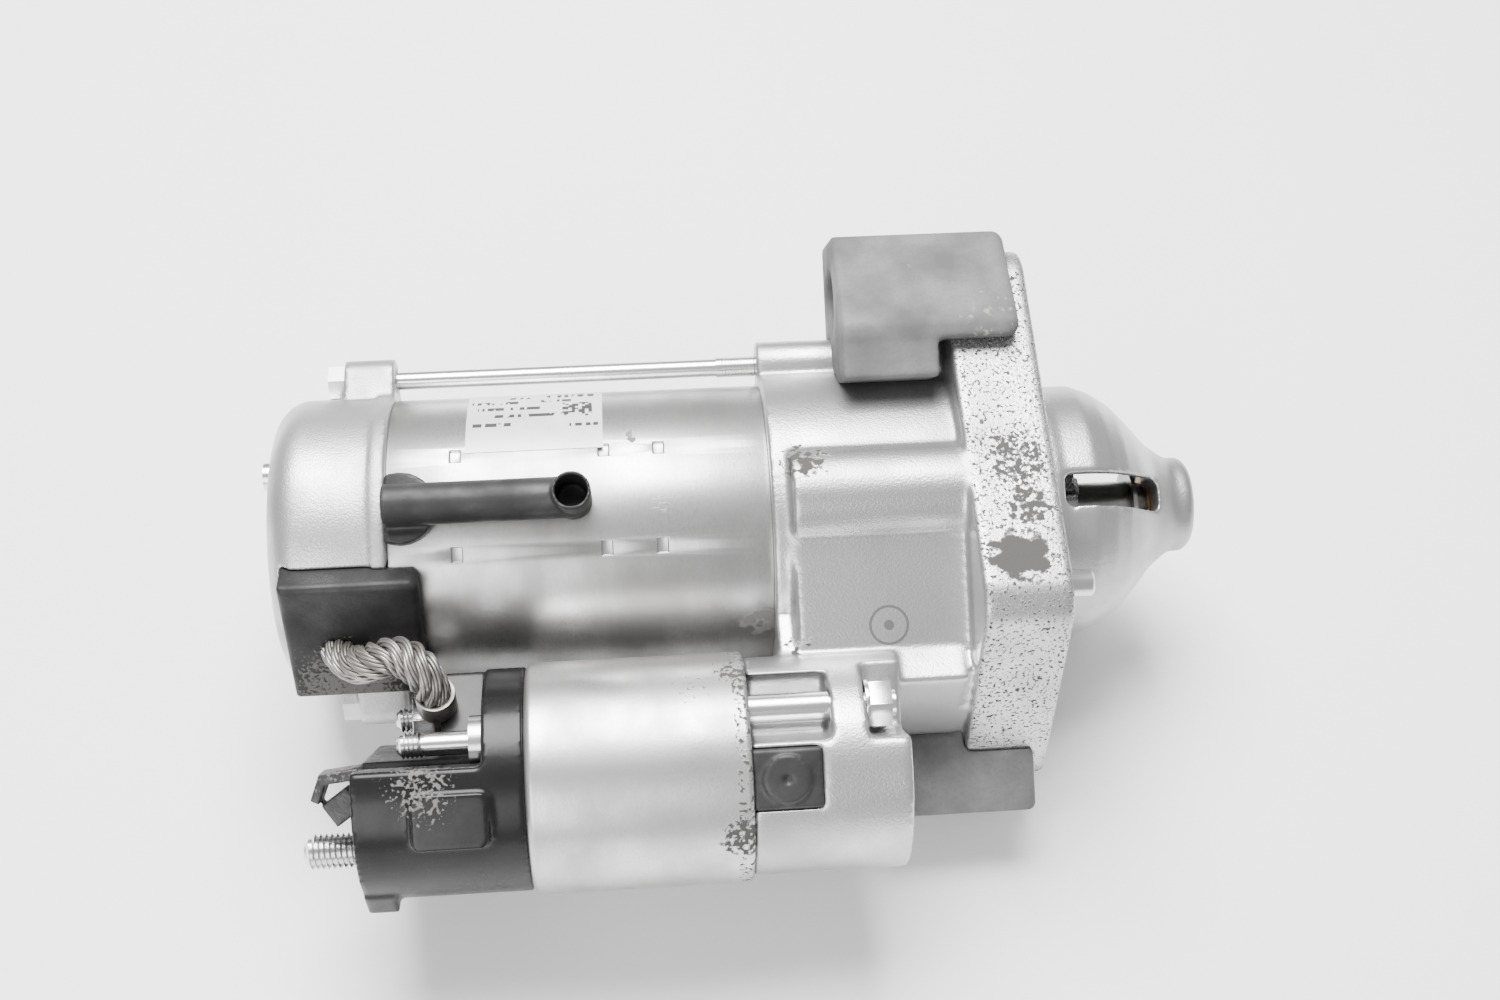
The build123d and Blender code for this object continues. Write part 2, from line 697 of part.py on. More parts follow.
with BuildPart() as commutator:
    disc(commutator_rear_x, commutator_front_x, commutator_radius, bore=6.0)
    disc(commutator_front_x, -151.5, commutator_radius + 1.2, bore=6.0)
    with BuildSketch(across(commutator_rear_x)):
        with PolarLocations(commutator_radius, slot_count):
            Rectangle(1.6, 0.6)
    extrude(amount=commutator_front_x - commutator_rear_x, mode=Mode.SUBTRACT)
save(commutator, "commutator")

# ================= planetary gear and output shaft =================
planet_pitch = planet_teeth * gear_module / 2
pin_radius = 2.6
for number in range(3):
    with BuildPart() as planet:
        with BuildSketch(Plane.YZ.offset(planet_rear_x).rotated((120 * number, 0, 0))):
            with Locations((carrier_radius, 0)):
                with BuildSketch(mode=Mode.PRIVATE) as planet_outline:
                    gear_face(planet_teeth, gear_module, planet_pitch + 1.0, planet_pitch - 1.25, 0.15)
                add(planet_outline.sketch)
                Circle(pin_radius + running, mode=Mode.SUBTRACT)
        extrude(amount=planet_front_x - planet_rear_x)
    save(planet, "planet_gear_" + str(number + 1))

carrier_disc_rear_x = planet_front_x + 0.3
with BuildPart() as planet_pins:
    with BuildSketch(across(planet_rear_x - 0.8)):
        with PolarLocations(carrier_radius, 3):
            Circle(pin_radius)
    extrude(amount=-48.7 - planet_rear_x + 0.8)
    with BuildSketch(across(planet_rear_x - 0.8)):
        with PolarLocations(carrier_radius, 3):
            Circle(pin_radius + 1.2)
    extrude(amount=0.6)
save(planet_pins, "planet_pins")

spline_outer = 8.0
spline_count = 8
spline_width = 2.4
spline_front_x = -9.0
with BuildPart() as output_shaft:
    disc(carrier_disc_rear_x, -48.7, 24.0)
    disc(-48.7, shoulder_x + 0.8, 9.0)
    disc(shoulder_x + 0.8, 28.0, shaft_radius)
    disc(28.0, nose_end_x - 2.2, 5.95)
    with BuildSketch(across(shoulder_x + 0.8)):
        with PolarLocations((spline_outer + shaft_radius) / 2 - 0.2, spline_count):
            Rectangle(spline_outer - shaft_radius + 0.4, spline_width)
    extrude(amount=spline_front_x - shoulder_x - 0.8)
    with BuildSketch(across(carrier_disc_rear_x)):
        with PolarLocations(carrier_radius, 3):
            Circle(pin_radius)
    extrude(amount=-48.7 - carrier_disc_rear_x, mode=Mode.SUBTRACT)
    disc(carrier_disc_rear_x, planet_front_x + 7, 3.5 + running, mode=Mode.SUBTRACT)
    disc(26.6, 27.6, shaft_radius + 1, bore=shaft_radius - 0.7, mode=Mode.SUBTRACT)
save(output_shaft, "output_shaft")

with BuildPart() as stop_ring:
    disc(26.6, 27.6, 9.5, bore=shaft_radius - 0.7)
save(stop_ring, "pinion_stop_ring")

# ================= overrunning clutch and pinion =================
groove_centre_x = pivot_x + 3.5
pad_radius = 2.8
pad_play = 0.35
groove_radius = 12.0
collar_radius = 17.0
collar_rear_x = groove_centre_x - pad_radius - pad_play - 2.2
collar_front_x = groove_centre_x + pad_radius + pad_play + 2.2
drum_rear_x = collar_front_x + 5.0
drum_front_x = -6.5
race_outer = 10.5
with BuildPart() as sleeve:
    disc(collar_rear_x, drum_rear_x, groove_radius)
    disc(collar_rear_x, collar_rear_x + 2.2, collar_radius)
    disc(collar_front_x - 2.2, collar_front_x, collar_radius)
    disc(drum_rear_x - 0.5, drum_front_x, drum_radius - 1.2)
    with BuildSketch(across(collar_rear_x)):
        Circle(shaft_radius + slip)
        with PolarLocations((spline_outer + shaft_radius) / 2, spline_count):
            Rectangle(spline_outer - shaft_radius + 0.5 + 2 * slip, spline_width + 2 * slip)
    extrude(amount=drum_front_x - collar_rear_x, mode=Mode.SUBTRACT)
    disc(drum_rear_x + 3.5, drum_front_x, 16.0, mode=Mode.SUBTRACT)
    with BuildSketch(across(drum_rear_x + 3.5)):
        with PolarLocations(14.2, 5):
            Rectangle(7, 7.5)
    extrude(amount=8.5, mode=Mode.SUBTRACT)
save(sleeve, "clutch_sleeve")

with BuildPart() as clutch_shell:
    disc(drum_rear_x - 1.8, drum_front_x + 1.2, drum_radius, bore=drum_radius - 1.2)
    disc(drum_rear_x - 1.8, drum_rear_x - 0.5, drum_radius - 1.2, bore=groove_radius)
    disc(drum_front_x, drum_front_x + 1.2, drum_radius - 1.2, bore=race_outer + 0.5)
save(clutch_shell, "clutch_shell")

roller_radius = 2.2
with BuildPart() as rollers:
    with BuildSketch(across(drum_rear_x + 3.7)):
        with PolarLocations(race_outer + roller_radius + running, 5):
            Circle(roller_radius)
    extrude(amount=8.0)
save(rollers, "clutch_rollers")

pinion_pitch = pinion_teeth * pinion_module / 2
pinion_tip = pinion_pitch + 2.4
with BuildPart() as pinion:
    with BuildSketch(across(pinion_rear_x)):
        gear_face(pinion_teeth, pinion_module, pinion_tip, pinion_pitch - 2.8, 0.3)
    extrude(amount=pinion_length)
    disc(drum_rear_x + 3.7, pinion_rear_x, race_outer)
    turned(
        [(pinion_rear_x + pinion_length - 2.2, 18), (pinion_rear_x + pinion_length - 2.2, pinion_tip)]
        + [(pinion_rear_x + pinion_length + 0.1, pinion_tip - 3.2), (pinion_rear_x + pinion_length + 0.1, 18)],
        mode=Mode.SUBTRACT,
    )
    disc(drum_rear_x + 3, pinion_rear_x + pinion_length, spline_outer + 0.3, mode=Mode.SUBTRACT)
    disc(0, pinion_rear_x + pinion_length, spline_outer + 0.3, bore=shaft_radius + running)
save(pinion, "pinion")

# ================= shift lever =================
hook_x = pivot_x - 7.5
hook_pad = 3.6
lever_wide = lever_half - 0.7
fork_inner = collar_radius + 1.0
fork_outer = collar_radius + 4.6
arm = Vector(groove_centre_x - pivot_x, -pivot_y, 0).normalized()
fork_plane = Plane(origin=(groove_centre_x, 0, 0), x_dir=arm, z_dir=(arm.Y, -arm.X, 0))
with BuildPart() as lever:
    # hub on the pivot, an arm to the plunger that ends in two prongs, and an arm to the fork
    with BuildSketch(Plane.XY.offset(-lever_wide)):
        with Locations((pivot_x, pivot_y)):
            Circle(hub_radius)
        hull((pivot_x, pivot_y, 2.6), (hook_x, -solenoid_offset, 1.8))
        with Locations((hook_x, -solenoid_offset)):
            Circle(hook_pad)
        hull((pivot_x, pivot_y, 2.6), (pivot_x + 1.7, -fork_outer + 1.0, 2.2))
    extrude(amount=2 * lever_wide)
    with BuildSketch(Plane.XY.offset(-3.3)):
        hull((hook_x, -solenoid_offset, 5.0), (hook_x + 1.5, -solenoid_offset + 8.5, 5.0))
    extrude(amount=6.6, mode=Mode.SUBTRACT)
    # half-round fork that straddles the clutch collar, with a round pad on each tip
    with BuildSketch(fork_plane):
        Circle(fork_outer)
        Circle(fork_inner, mode=Mode.SUBTRACT)
        with Locations((fork_outer / 2 + 3, 0)):
            Rectangle(fork_outer, 3 * fork_outer, mode=Mode.SUBTRACT)
    extrude(amount=2.2, both=True)
    for side in (-1, 1):
        with BuildSketch(Plane(origin=(0, 0, side * (groove_radius + 0.5)), x_dir=(1, 0, 0), z_dir=(0, 0, side))):
            with Locations((groove_centre_x, 0)):
                Circle(pad_radius)
        extrude(amount=fork_inner + 1.0 - groove_radius - 0.5)
    with BuildSketch(Plane.XY.offset(-lever_half)):
        with Locations((pivot_x, pivot_y)):
            Circle(pivot_radius + running)
    extrude(amount=2 * lever_half, mode=Mode.SUBTRACT)
save(lever, "shift_lever")

# ================= solenoid =================
with BuildPart() as case:
    disc(case_rear_x, case_front_x, case_radius, at=sol)
    fillet(case.edges().group_by(Axis.X)[-1], 1.2)
    fillet(case.edges().group_by(Axis.X)[0], 1.8)
    disc(case_rear_x, case_front_x - 3, case_radius - case_wall, at=sol, mode=Mode.SUBTRACT)
    disc(case_front_x - 3, case_front_x, plunger_radius + free, at=sol, mode=Mode.SUBTRACT)
save(case, "solenoid_case")

coil_rear_x = case_rear_x + 7.5
coil_front_x = case_front_x - 3.2
core_face_x = -108.0
tube_radius = plunger_radius + running
bobbin_hub = tube_radius + 1.6
coil_radius = case_radius - case_wall - 0.3
with BuildPart() as bobbin:
    disc(coil_rear_x, coil_front_x, bobbin_hub, bore=tube_radius, at=sol)
    disc(coil_rear_x, coil_rear_x + 1.6, coil_radius, bore=tube_radius, at=sol)
    disc(coil_front_x - 1.6, coil_front_x, coil_radius, bore=tube_radius, at=sol)
save(bobbin, "coil_bobbin")

with BuildPart() as coil:
    disc(coil_rear_x + 1.6, coil_front_x - 1.6, coil_radius - 1.2, bore=bobbin_hub, at=sol)
save(coil, "solenoid_coil")

rod_radius = 1.9
with BuildPart() as fixed_core:
    disc(coil_rear_x, core_face_x, tube_radius - 0.1, bore=rod_radius + slip, at=sol)
    disc(coil_rear_x - 4.2, coil_rear_x, coil_radius, bore=rod_radius + slip, at=sol)
save(fixed_core, "solenoid_core")

# Moulded end cap in three steps, which carries the terminals.
split_p = sol_p + 6.4
battery_at = (-solenoid_offset - 13.6, -4.0)
motor_at = (-solenoid_offset + 16.0, 1.6)
trigger_at = (-solenoid_offset + 1.8, 15.8)
cap_seat_x = coil_rear_x - 4.2
battery_stud_radius = 4.0
battery_seat_radius = 4.3
motor_stud_radius = 3.0
trigger_radius = 3.0
trigger_neck_radius = 2.7
with BuildPart() as cap:
    disc(cap_seat_x, case_rear_x, case_radius - case_wall - 0.1, at=sol)
    disc(case_rear_x, cap_trigger_x, cap_radius, at=sol)
    with BuildSketch(across(cap_trigger_x)):
        with Locations(sol):
            Circle(cap_radius)
        with Locations(lug_to_row(split_p + 30, sol_q)):
            Rectangle(60, 80, rotation=lug_turn, mode=Mode.SUBTRACT)
    extrude(amount=cap_block_x - cap_trigger_x)
    with BuildSketch(across(cap_trigger_x)):
        with Locations(sol):
            Circle(cap_radius)
        with Locations(lug_to_row(split_p - 30, sol_q)):
            Rectangle(60, 80, rotation=lug_turn, mode=Mode.SUBTRACT)
        with Locations((motor_at[0], motor_at[1] + 26.4)):
            Rectangle(80, 40, mode=Mode.SUBTRACT)
    extrude(amount=cap_motor_x - cap_trigger_x)
    # clear space round the trigger terminal, and the raised pad on the outer side
    with BuildSketch(across(cap_trigger_x)):
        with Locations(trigger_at):
            Circle(6.6)
    extrude(amount=cap_block_x - cap_trigger_x, mode=Mode.SUBTRACT)
    pad_plane = Plane(
        origin=(-142.0, *lug_to_row(sol_p - 5, sol_q + 20)), x_dir=(1, 0, 0), z_dir=(0, *lug_to_row(0, 1))
    )
    with BuildSketch(pad_plane):
        RectangleRounded(17, 12, 1.5)
    extrude(amount=6.5)
    # foot under the battery stud
    with Locations((cap_block_x + 3.5, -solenoid_offset - cap_radius + 2.5, -8)):
        Box(7, 6, 9)
    # room for the contact bridge
    with BuildSketch(across(cap_seat_x)):
        with Locations((-solenoid_offset + 1, -1.5)):
            RectangleRounded(44, 17, 2)
    extrude(amount=-19.0, mode=Mode.SUBTRACT)
    disc(cap_seat_x - 18, cap_block_x - 1, battery_seat_radius, at=battery_at, mode=Mode.SUBTRACT)
    disc(cap_seat_x - 18, cap_motor_x - 1, motor_stud_radius, at=motor_at, mode=Mode.SUBTRACT)
    disc(cap_trigger_x + 6, cap_trigger_x - 1, trigger_radius, at=trigger_at, mode=Mode.SUBTRACT)
save(cap, "solenoid_cap")

head_front_x = -133.8
with BuildPart() as battery_stud:
    disc(-176.8, cap_block_x, battery_stud_radius, at=battery_at)
    disc(cap_block_x, cap_seat_x - 19.0, battery_seat_radius, at=battery_at)
    disc(cap_seat_x - 19.0, head_front_x, 5.5, at=battery_at)
    chamfer(battery_stud.faces().sort_by(Axis.X)[0].edges(), 0.7)
save(battery_stud, "battery_stud")

with BuildPart() as motor_stud:
    disc(-156.5, cap_seat_x - 19.0, motor_stud_radius, at=motor_at)
    disc(cap_seat_x - 19.0, head_front_x, 5.0, at=motor_at)
save(motor_stud, "motor_stud")

with BuildPart() as trigger_terminal:
    disc(-154.2, -148.0, trigger_radius, at=trigger_at)
    disc(-148.0, cap_trigger_x - 3, trigger_neck_radius, at=trigger_at)
    disc(cap_trigger_x - 3, cap_trigger_x, 6.0, at=trigger_at)
    disc(cap_trigger_x, cap_trigger_x + 6, trigger_radius, at=trigger_at)
save(trigger_terminal, "trigger_terminal")

lug_rear_x = cap_motor_x - 1.6
nut_rear_x = lug_rear_x - 5.2
with BuildPart() as motor_nut:
    hexagon(nut_rear_x, lug_rear_x, 10.0, motor_stud_radius, motor_at)
save(motor_nut, "motor_nut")

with BuildPart() as solenoid_studs:
    for place in studs:
        disc(case_front_x, plate_rear_x - 1.5, 3.4, at=place)
        disc(plate_rear_x - 1.5, -42.2, 3.0, at=place)
save(solenoid_studs, "solenoid_studs")

with BuildPart() as solenoid_nuts:
    for place in studs:
        disc(plate_front_x, plate_front_x + 0.9, 5.6, bore=3.0, at=place)
        hexagon(plate_front_x + 0.9, plate_front_x + 5.9, 10.0, 3.0, place)
save(solenoid_nuts, "solenoid_nuts")

plunger_rear_x = core_face_x + plunger_travel + 0.4
rear_collar = 8.0
front_collar = 5.5
spring_bore = 5.6
spring_seat_x = plunger_rear_x + 10.6
with BuildPart() as plunger:
    disc(plunger_rear_x, case_front_x + 2, plunger_radius, at=sol)
    disc(plunger_rear_x, spring_seat_x, spring_bore, at=sol, mode=Mode.SUBTRACT)
    disc(case_front_x + 2, hook_x + hook_pad + pad_play + 2, 3.0, at=sol)
    disc(hook_x - hook_pad - pad_play - 2.2, hook_x - hook_pad - pad_play, rear_collar, at=sol)
    disc(hook_x + hook_pad + pad_play, hook_x + hook_pad + pad_play + 2, front_collar, at=sol)
save(plunger, "plunger")

# Return spring between the fixed core and the bottom of the plunger's bore.
wire = 0.8
spring_turns = 5
spring_start_x = core_face_x + wire + 0.1
spring_height = spring_seat_x - core_face_x - 2 * wire - 0.2
with BuildPart() as return_spring:
    with BuildLine() as coil_path:
        Helix(
            pitch=spring_height / spring_turns,
            height=spring_height,
            radius=4.2,
            center=(spring_start_x, -solenoid_offset, 0),
            direction=(1, 0, 0),
        )
    with BuildSketch(Plane(coil_path.line @ 0, z_dir=coil_path.line % 0)):
        Circle(wire)
    sweep()
save(return_spring, "plunger_spring")

bridge_share = 0.3
rod_front_x = spring_seat_x - plunger_travel + bridge_share * plunger_travel - free
bridge_x = -131.0
with BuildPart() as contact_rod:
    disc(bridge_x - 3, rod_front_x, rod_radius, at=sol)
save(contact_rod, "contact_rod")

with BuildPart() as bridge:
    with BuildSketch(across(bridge_x)):
        with Locations((-solenoid_offset + 1, -1.5)):
            RectangleRounded(41, 13, 3)
        with Locations(sol):
            Circle(rod_radius, mode=Mode.SUBTRACT)
    extrude(amount=1.6)
save(bridge, "contact_bridge")

# ================= motor lead =================
# A stranded copper lead from the grommet to the ring terminal on the motor stud.
lead_radius = 3.7
lead_bury = 1.5
exit_run = 8.0
exit_lean = 30.0
exit_turn = 4.0
exit_level = (grommet_outer - lead_bury) / math.cos(math.radians(exit_turn))
exit_y, exit_z = polar(exit_level, grommet_angle + exit_turn)
out_y, out_z = polar(exit_run * math.cos(math.radians(exit_lean)), grommet_angle)
barrel_x = cap_motor_x - 0.8
barrel_low = 8.1
barrel_seat = 9.4
barrel_high = 14.0
lead_points = [
    (-170.5, exit_y, exit_z),
    (-170.5 + exit_run * math.sin(math.radians(exit_lean)), exit_y + out_y, exit_z + out_z),
    (-160.0, -44.3, 17.0),
    (-153.0, -44.0, 20.0),
    (barrel_x, -51.6, 20.0),
    (barrel_x, -51.6, barrel_seat),
]


def corner_radii(points):
    """Arc at each inner point of a route: 0.45 of the shorter run over the tangent of half its turn."""
    radii = []
    for before, here, after in zip(points, points[1:], points[2:]):
        run_in = Vector(*here) - Vector(*before)
        run_out = Vector(*after) - Vector(*here)
        half_turn = math.radians(run_in.get_angle(run_out) / 2)
        radii.append(0.45 * min(run_in.length, run_out.length) / math.tan(half_turn))
    return radii


lead_radii = corner_radii(lead_points)
print("lead arc radii", [round(r, 1) for r in lead_radii])
with BuildPart() as lead:
    with BuildLine() as lead_path:
        FilletPolyline(*lead_points, radius=lead_radii)
    with BuildSketch(Plane(lead_path.line @ 0, z_dir=lead_path.line % 0)):
        Circle(lead_radius)
    sweep()
lead_length = sum(edge.length for edge in lead_path.edges())
print("lead length", round(lead_length, 1))
lead_section = math.pi * lead_radius**2
print("lead volume over section times length", round(lead.part.volume / (lead_section * lead_length), 4))
save(lead, "motor_lead")

with BuildPart() as seated_grommet:
    add(grommet.part)
    add(lead.part, mode=Mode.SUBTRACT)
save(seated_grommet, "lead_grommet")

# Ring terminal: a flat palm on the motor stud and a barrel crimped on the end of the lead.
with BuildPart() as ring_terminal:
    with BuildSketch(across(lug_rear_x)):
        hull((motor_at[0], motor_at[1], 5.6), (-51.6, barrel_low, 4.2))
    extrude(amount=cap_motor_x - lug_rear_x)
    with BuildSketch(Plane.XY.offset(barrel_low)):
        with Locations((barrel_x, -51.6)):
            Circle(lead_radius + 0.9)
    extrude(amount=barrel_high - barrel_low)
    with BuildSketch(Plane.XY.offset(barrel_seat)):
        with Locations((barrel_x, -51.6)):
            Circle(lead_radius)
    extrude(amount=barrel_high - barrel_seat, mode=Mode.SUBTRACT)
    disc(lug_rear_x, cap_motor_x, motor_stud_radius, at=motor_at, mode=Mode.SUBTRACT)
save(ring_terminal, "lead_terminal")
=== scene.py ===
# %% [markdown]
# # A starter motor
# This script dresses the measured parts of a car's starter motor. The measured parts, called the frame, are
# loaded first and stay where they are. Soft or cast pieces are remade from copies of them, threads and the
# stranded lead are added, and every surface gets a finish made from noise patterns.

import json
import math

import bmesh
import bpy
from mathutils import Matrix, Vector


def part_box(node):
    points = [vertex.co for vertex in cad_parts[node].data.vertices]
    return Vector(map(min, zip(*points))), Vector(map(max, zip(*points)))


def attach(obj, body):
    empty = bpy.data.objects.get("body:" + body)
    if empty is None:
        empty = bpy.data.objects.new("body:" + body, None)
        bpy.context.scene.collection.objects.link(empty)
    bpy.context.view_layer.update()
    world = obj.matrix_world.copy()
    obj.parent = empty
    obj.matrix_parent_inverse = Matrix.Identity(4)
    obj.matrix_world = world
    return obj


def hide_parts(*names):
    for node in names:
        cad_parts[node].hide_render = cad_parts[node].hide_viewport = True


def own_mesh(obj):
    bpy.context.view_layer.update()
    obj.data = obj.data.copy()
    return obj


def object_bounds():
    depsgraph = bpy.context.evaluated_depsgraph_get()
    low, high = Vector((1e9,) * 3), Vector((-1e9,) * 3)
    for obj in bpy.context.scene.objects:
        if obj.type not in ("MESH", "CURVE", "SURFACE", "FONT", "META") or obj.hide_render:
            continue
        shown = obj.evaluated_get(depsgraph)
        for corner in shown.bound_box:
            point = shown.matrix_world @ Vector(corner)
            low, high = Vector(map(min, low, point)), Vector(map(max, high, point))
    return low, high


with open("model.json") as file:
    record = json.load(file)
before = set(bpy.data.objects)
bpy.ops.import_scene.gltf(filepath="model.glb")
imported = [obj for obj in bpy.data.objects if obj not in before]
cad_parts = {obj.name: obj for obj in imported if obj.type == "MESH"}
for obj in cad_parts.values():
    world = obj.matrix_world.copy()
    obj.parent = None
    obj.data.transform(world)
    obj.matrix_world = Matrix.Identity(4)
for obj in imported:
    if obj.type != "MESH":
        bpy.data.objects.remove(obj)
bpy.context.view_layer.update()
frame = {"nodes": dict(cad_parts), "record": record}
nodes = frame["nodes"]
MM = 0.001
print("nodes loaded", len(nodes))

# %% [markdown]
# ## The camera
# The motor is seen from above and from the solenoid's side. A camera in Blender looks along its own -Z with
# +Y up, so a matrix built from three directions places it in one step.

# %% Camera
view_right = Vector((0.997, -0.074, 0.025)).normalized()
view_up = Vector((0.047, 0.823, 0.566)).normalized()
view_back = view_right.cross(view_up).normalized()
lens_data = bpy.data.cameras.new("camera")
lens_data.lens = 44.6
lens_data.sensor_width = 36
camera = bpy.data.objects.new("camera", lens_data)
turn = Matrix((view_right, view_back.cross(view_right), view_back)).transposed().to_4x4()
camera.matrix_world = Matrix.Translation(Vector((-98.9, -260.1, 391.5)) * MM) @ turn
bpy.context.scene.collection.objects.link(camera)
bpy.context.scene.camera = camera
print("camera stands off", round(camera.location.length, 3), "m")

# %% [markdown]
# ## Wiring a material
# A finish is a small tree of nodes. One helper adds a node and fills its sockets, either with a number or
# with the output of an earlier node, so that each pattern below reads as a sentence.


# %% Node helpers
def wire(tree, kind, sockets, **settings):
    """Adds a shader node, sets its options, and fills each named or numbered socket."""
    node = tree.nodes.new(kind)
    for option, value in settings.items():
        setattr(node, option, value)
    for key, value in sockets.items():
        if isinstance(value, bpy.types.NodeSocket):
            tree.links.new(value, node.inputs[key])
        else:
            node.inputs[key].default_value = value
    return node


def maths(tree, operation, *values):
    return wire(tree, "ShaderNodeMath", dict(enumerate(values)), operation=operation).outputs[0]


def noise(tree, place, size_mm, detail=3.0):
    """Cloudy noise whose blobs are about size_mm across."""
    sockets = {"Vector": place, "Scale": 1 / (size_mm * MM), "Detail": detail}
    return wire(tree, "ShaderNodeTexNoise", sockets).outputs[0]


def spread(tree, value, low, high):
    """Stretches low..high to 0..1 and clips the rest."""
    sockets = {"Value": value, "From Min": low, "From Max": high}
    return wire(tree, "ShaderNodeMapRange", sockets).outputs[0]


def blend(tree, amount, first, second):
    """Mixes two colours by an amount from 0 to 1."""
    return wire(tree, "ShaderNodeMix", {0: amount, 6: first, 7: second}, data_type="RGBA").outputs[2]


def ramp(tree, amount, first, second):
    """Mixes two numbers by an amount from 0 to 1."""
    return wire(tree, "ShaderNodeMix", {0: amount, 2: first, 3: second}, data_type="FLOAT").outputs[0]


def grey(value, warmth=0.0):
    return (value * (1 + warmth), value, value * (1 - warmth), 1.0)


# %% [markdown]
# ## Dirt and painted shade in known places
# Road dirt and old oil lie where they splashed, not everywhere. A patch is a ball of influence round a
# point and a band lies between two stations along the motor. Both raise a noise over a threshold, so specks
# crowd together in the middle and thin out towards the edge, as a real splash does. The same patch also
# paints one shadow, on the yoke by the housing's corner.


# %% Dirt and painted shade helpers
def specks(tree, place, near, speck_mm, cover):
    """Specks where near is 1, thinning to none where it is 0. cover is the share of the ground they hide."""
    level = maths(tree, "ADD", noise(tree, place, speck_mm, 6.0), maths(tree, "MULTIPLY", near, 0.5))
    edge = 1.22 - 0.45 * cover
    return spread(tree, level, edge, edge + 0.07)


def patch(centre_mm, reach_mm, speck_mm, cover):
    """Dirt within reach of a point; the one on the yoke by the housing's corner is a painted shadow instead.
    """

    def build(tree, place):
        centre = tuple(c * MM for c in centre_mm)
        gap = wire(tree, "ShaderNodeVectorMath", {0: place, 1: centre}, operation="DISTANCE")
        near = spread(tree, gap.outputs["Value"], reach_mm * MM, reach_mm * MM * 0.3)
        return specks(tree, place, near, speck_mm, cover)

    return build


def band(x_low_mm, x_high_mm, speck_mm, cover):
    """Dirt between two stations along the motor."""

    def build(tree, place):
        x = wire(tree, "ShaderNodeSeparateXYZ", {0: place}).outputs[0]
        middle, half = (x_low_mm + x_high_mm) / 2 * MM, (x_high_mm - x_low_mm) / 2 * MM
        return specks(tree, place, maths(tree, "COMPARE", x, middle, half), speck_mm, cover)

    return build


def ring_stamp(centre_mm, radius_mm):
    """A plain inked ring round a dot, as a checker's stamp leaves."""

    def build(tree, place):
        centre = tuple(c * MM for c in centre_mm)
        gap = wire(tree, "ShaderNodeVectorMath", {0: place, 1: centre}, operation="DISTANCE").outputs["Value"]
        ring = maths(tree, "COMPARE", gap, radius_mm * MM, 0.3 * MM)
        dot = maths(tree, "LESS_THAN", gap, 1.2 * MM)
        return maths(tree, "MULTIPLY", maths(tree, "MAXIMUM", ring, dot), 0.9)

    return build


# %% [markdown]
# ## One recipe for most finishes
# Cast, plated, rubber and moulded surfaces differ in numbers more than in kind. Each has a colour that
# drifts slowly, a fine grain that makes its roughness and its tiny bumps, and its own dirt; the yoke's also
# carries a patch of painted shadow. The numbers are the maker's: a grain size and depth in millimetres and
# how metallic and how smooth the surface is.


# %% The finish recipe
def finish(
    name, light, dark, rough, metal, drift_mm, grain_mm, depth_mm, pull=(1, 1, 1), dirt_and_shade=(), dirt_and_shade_grey=0.03,
    gloss=0.5,
):
    """A material whose colour drifts from light to dark, with a fine grain and its own patches of dirt, and
    of painted shade where one is given.
    """
    material = bpy.data.materials.new(name)
    material.use_nodes = True
    tree = material.node_tree
    shader = tree.nodes["Principled BSDF"]
    place = wire(tree, "ShaderNodeTexCoord", {}).outputs["Object"]
    pulled = wire(tree, "ShaderNodeMapping", {"Vector": place, "Scale": pull}).outputs[0]
    drift = spread(tree, noise(tree, pulled, drift_mm, 4.0), 0.35, 0.65)
    grain = noise(tree, pulled, grain_mm, 2.0)
    colour = blend(tree, drift, light, dark)
    colour = blend(tree, maths(tree, "MULTIPLY", spread(tree, grain, 0.45, 0.75), 0.35), colour, dark)
    roughness = ramp(tree, drift, rough * 0.85, min(1.0, rough * 1.2))
    shine = metal
    lumps = maths(tree, "MULTIPLY", grain, depth_mm)
    if dirt_and_shade:
        cover = dirt_and_shade[0](tree, place)
        for lay in dirt_and_shade[1:]:
            cover = maths(tree, "MAXIMUM", cover, lay(tree, place))
        # the patches take one grey: real dirt, and on the yoke also a painted shadow
        colour = blend(tree, cover, colour, grey(dirt_and_shade_grey, 0.04))
        roughness = ramp(tree, cover, roughness, 0.85)
        shine = ramp(tree, cover, metal, 0.0)
        lumps = maths(tree, "ADD", lumps, maths(tree, "MULTIPLY", cover, depth_mm * 1.5))
    bump = wire(tree, "ShaderNodeBump", {"Height": lumps, "Distance": MM, "Strength": 0.6})
    tree.links.new(colour, shader.inputs["Base Color"])
    tree.links.new(roughness, shader.inputs["Roughness"])
    tree.links.new(bump.outputs[0], shader.inputs["Normal"])
    shader.inputs["Specular IOR Level"].default_value = gloss
    if dirt_and_shade:
        tree.links.new(shine, shader.inputs["Metallic"])
    else:
        shader.inputs["Metallic"].default_value = metal
    return material


# %% [markdown]
# ## Cast aluminium
# The drive housing and the rear cover are die cast, with a satin skin and a fine sandy grain. The flange
# has been under the engine, so it carries the most dirt. The stamp on the housing's shelf is a plain ring.

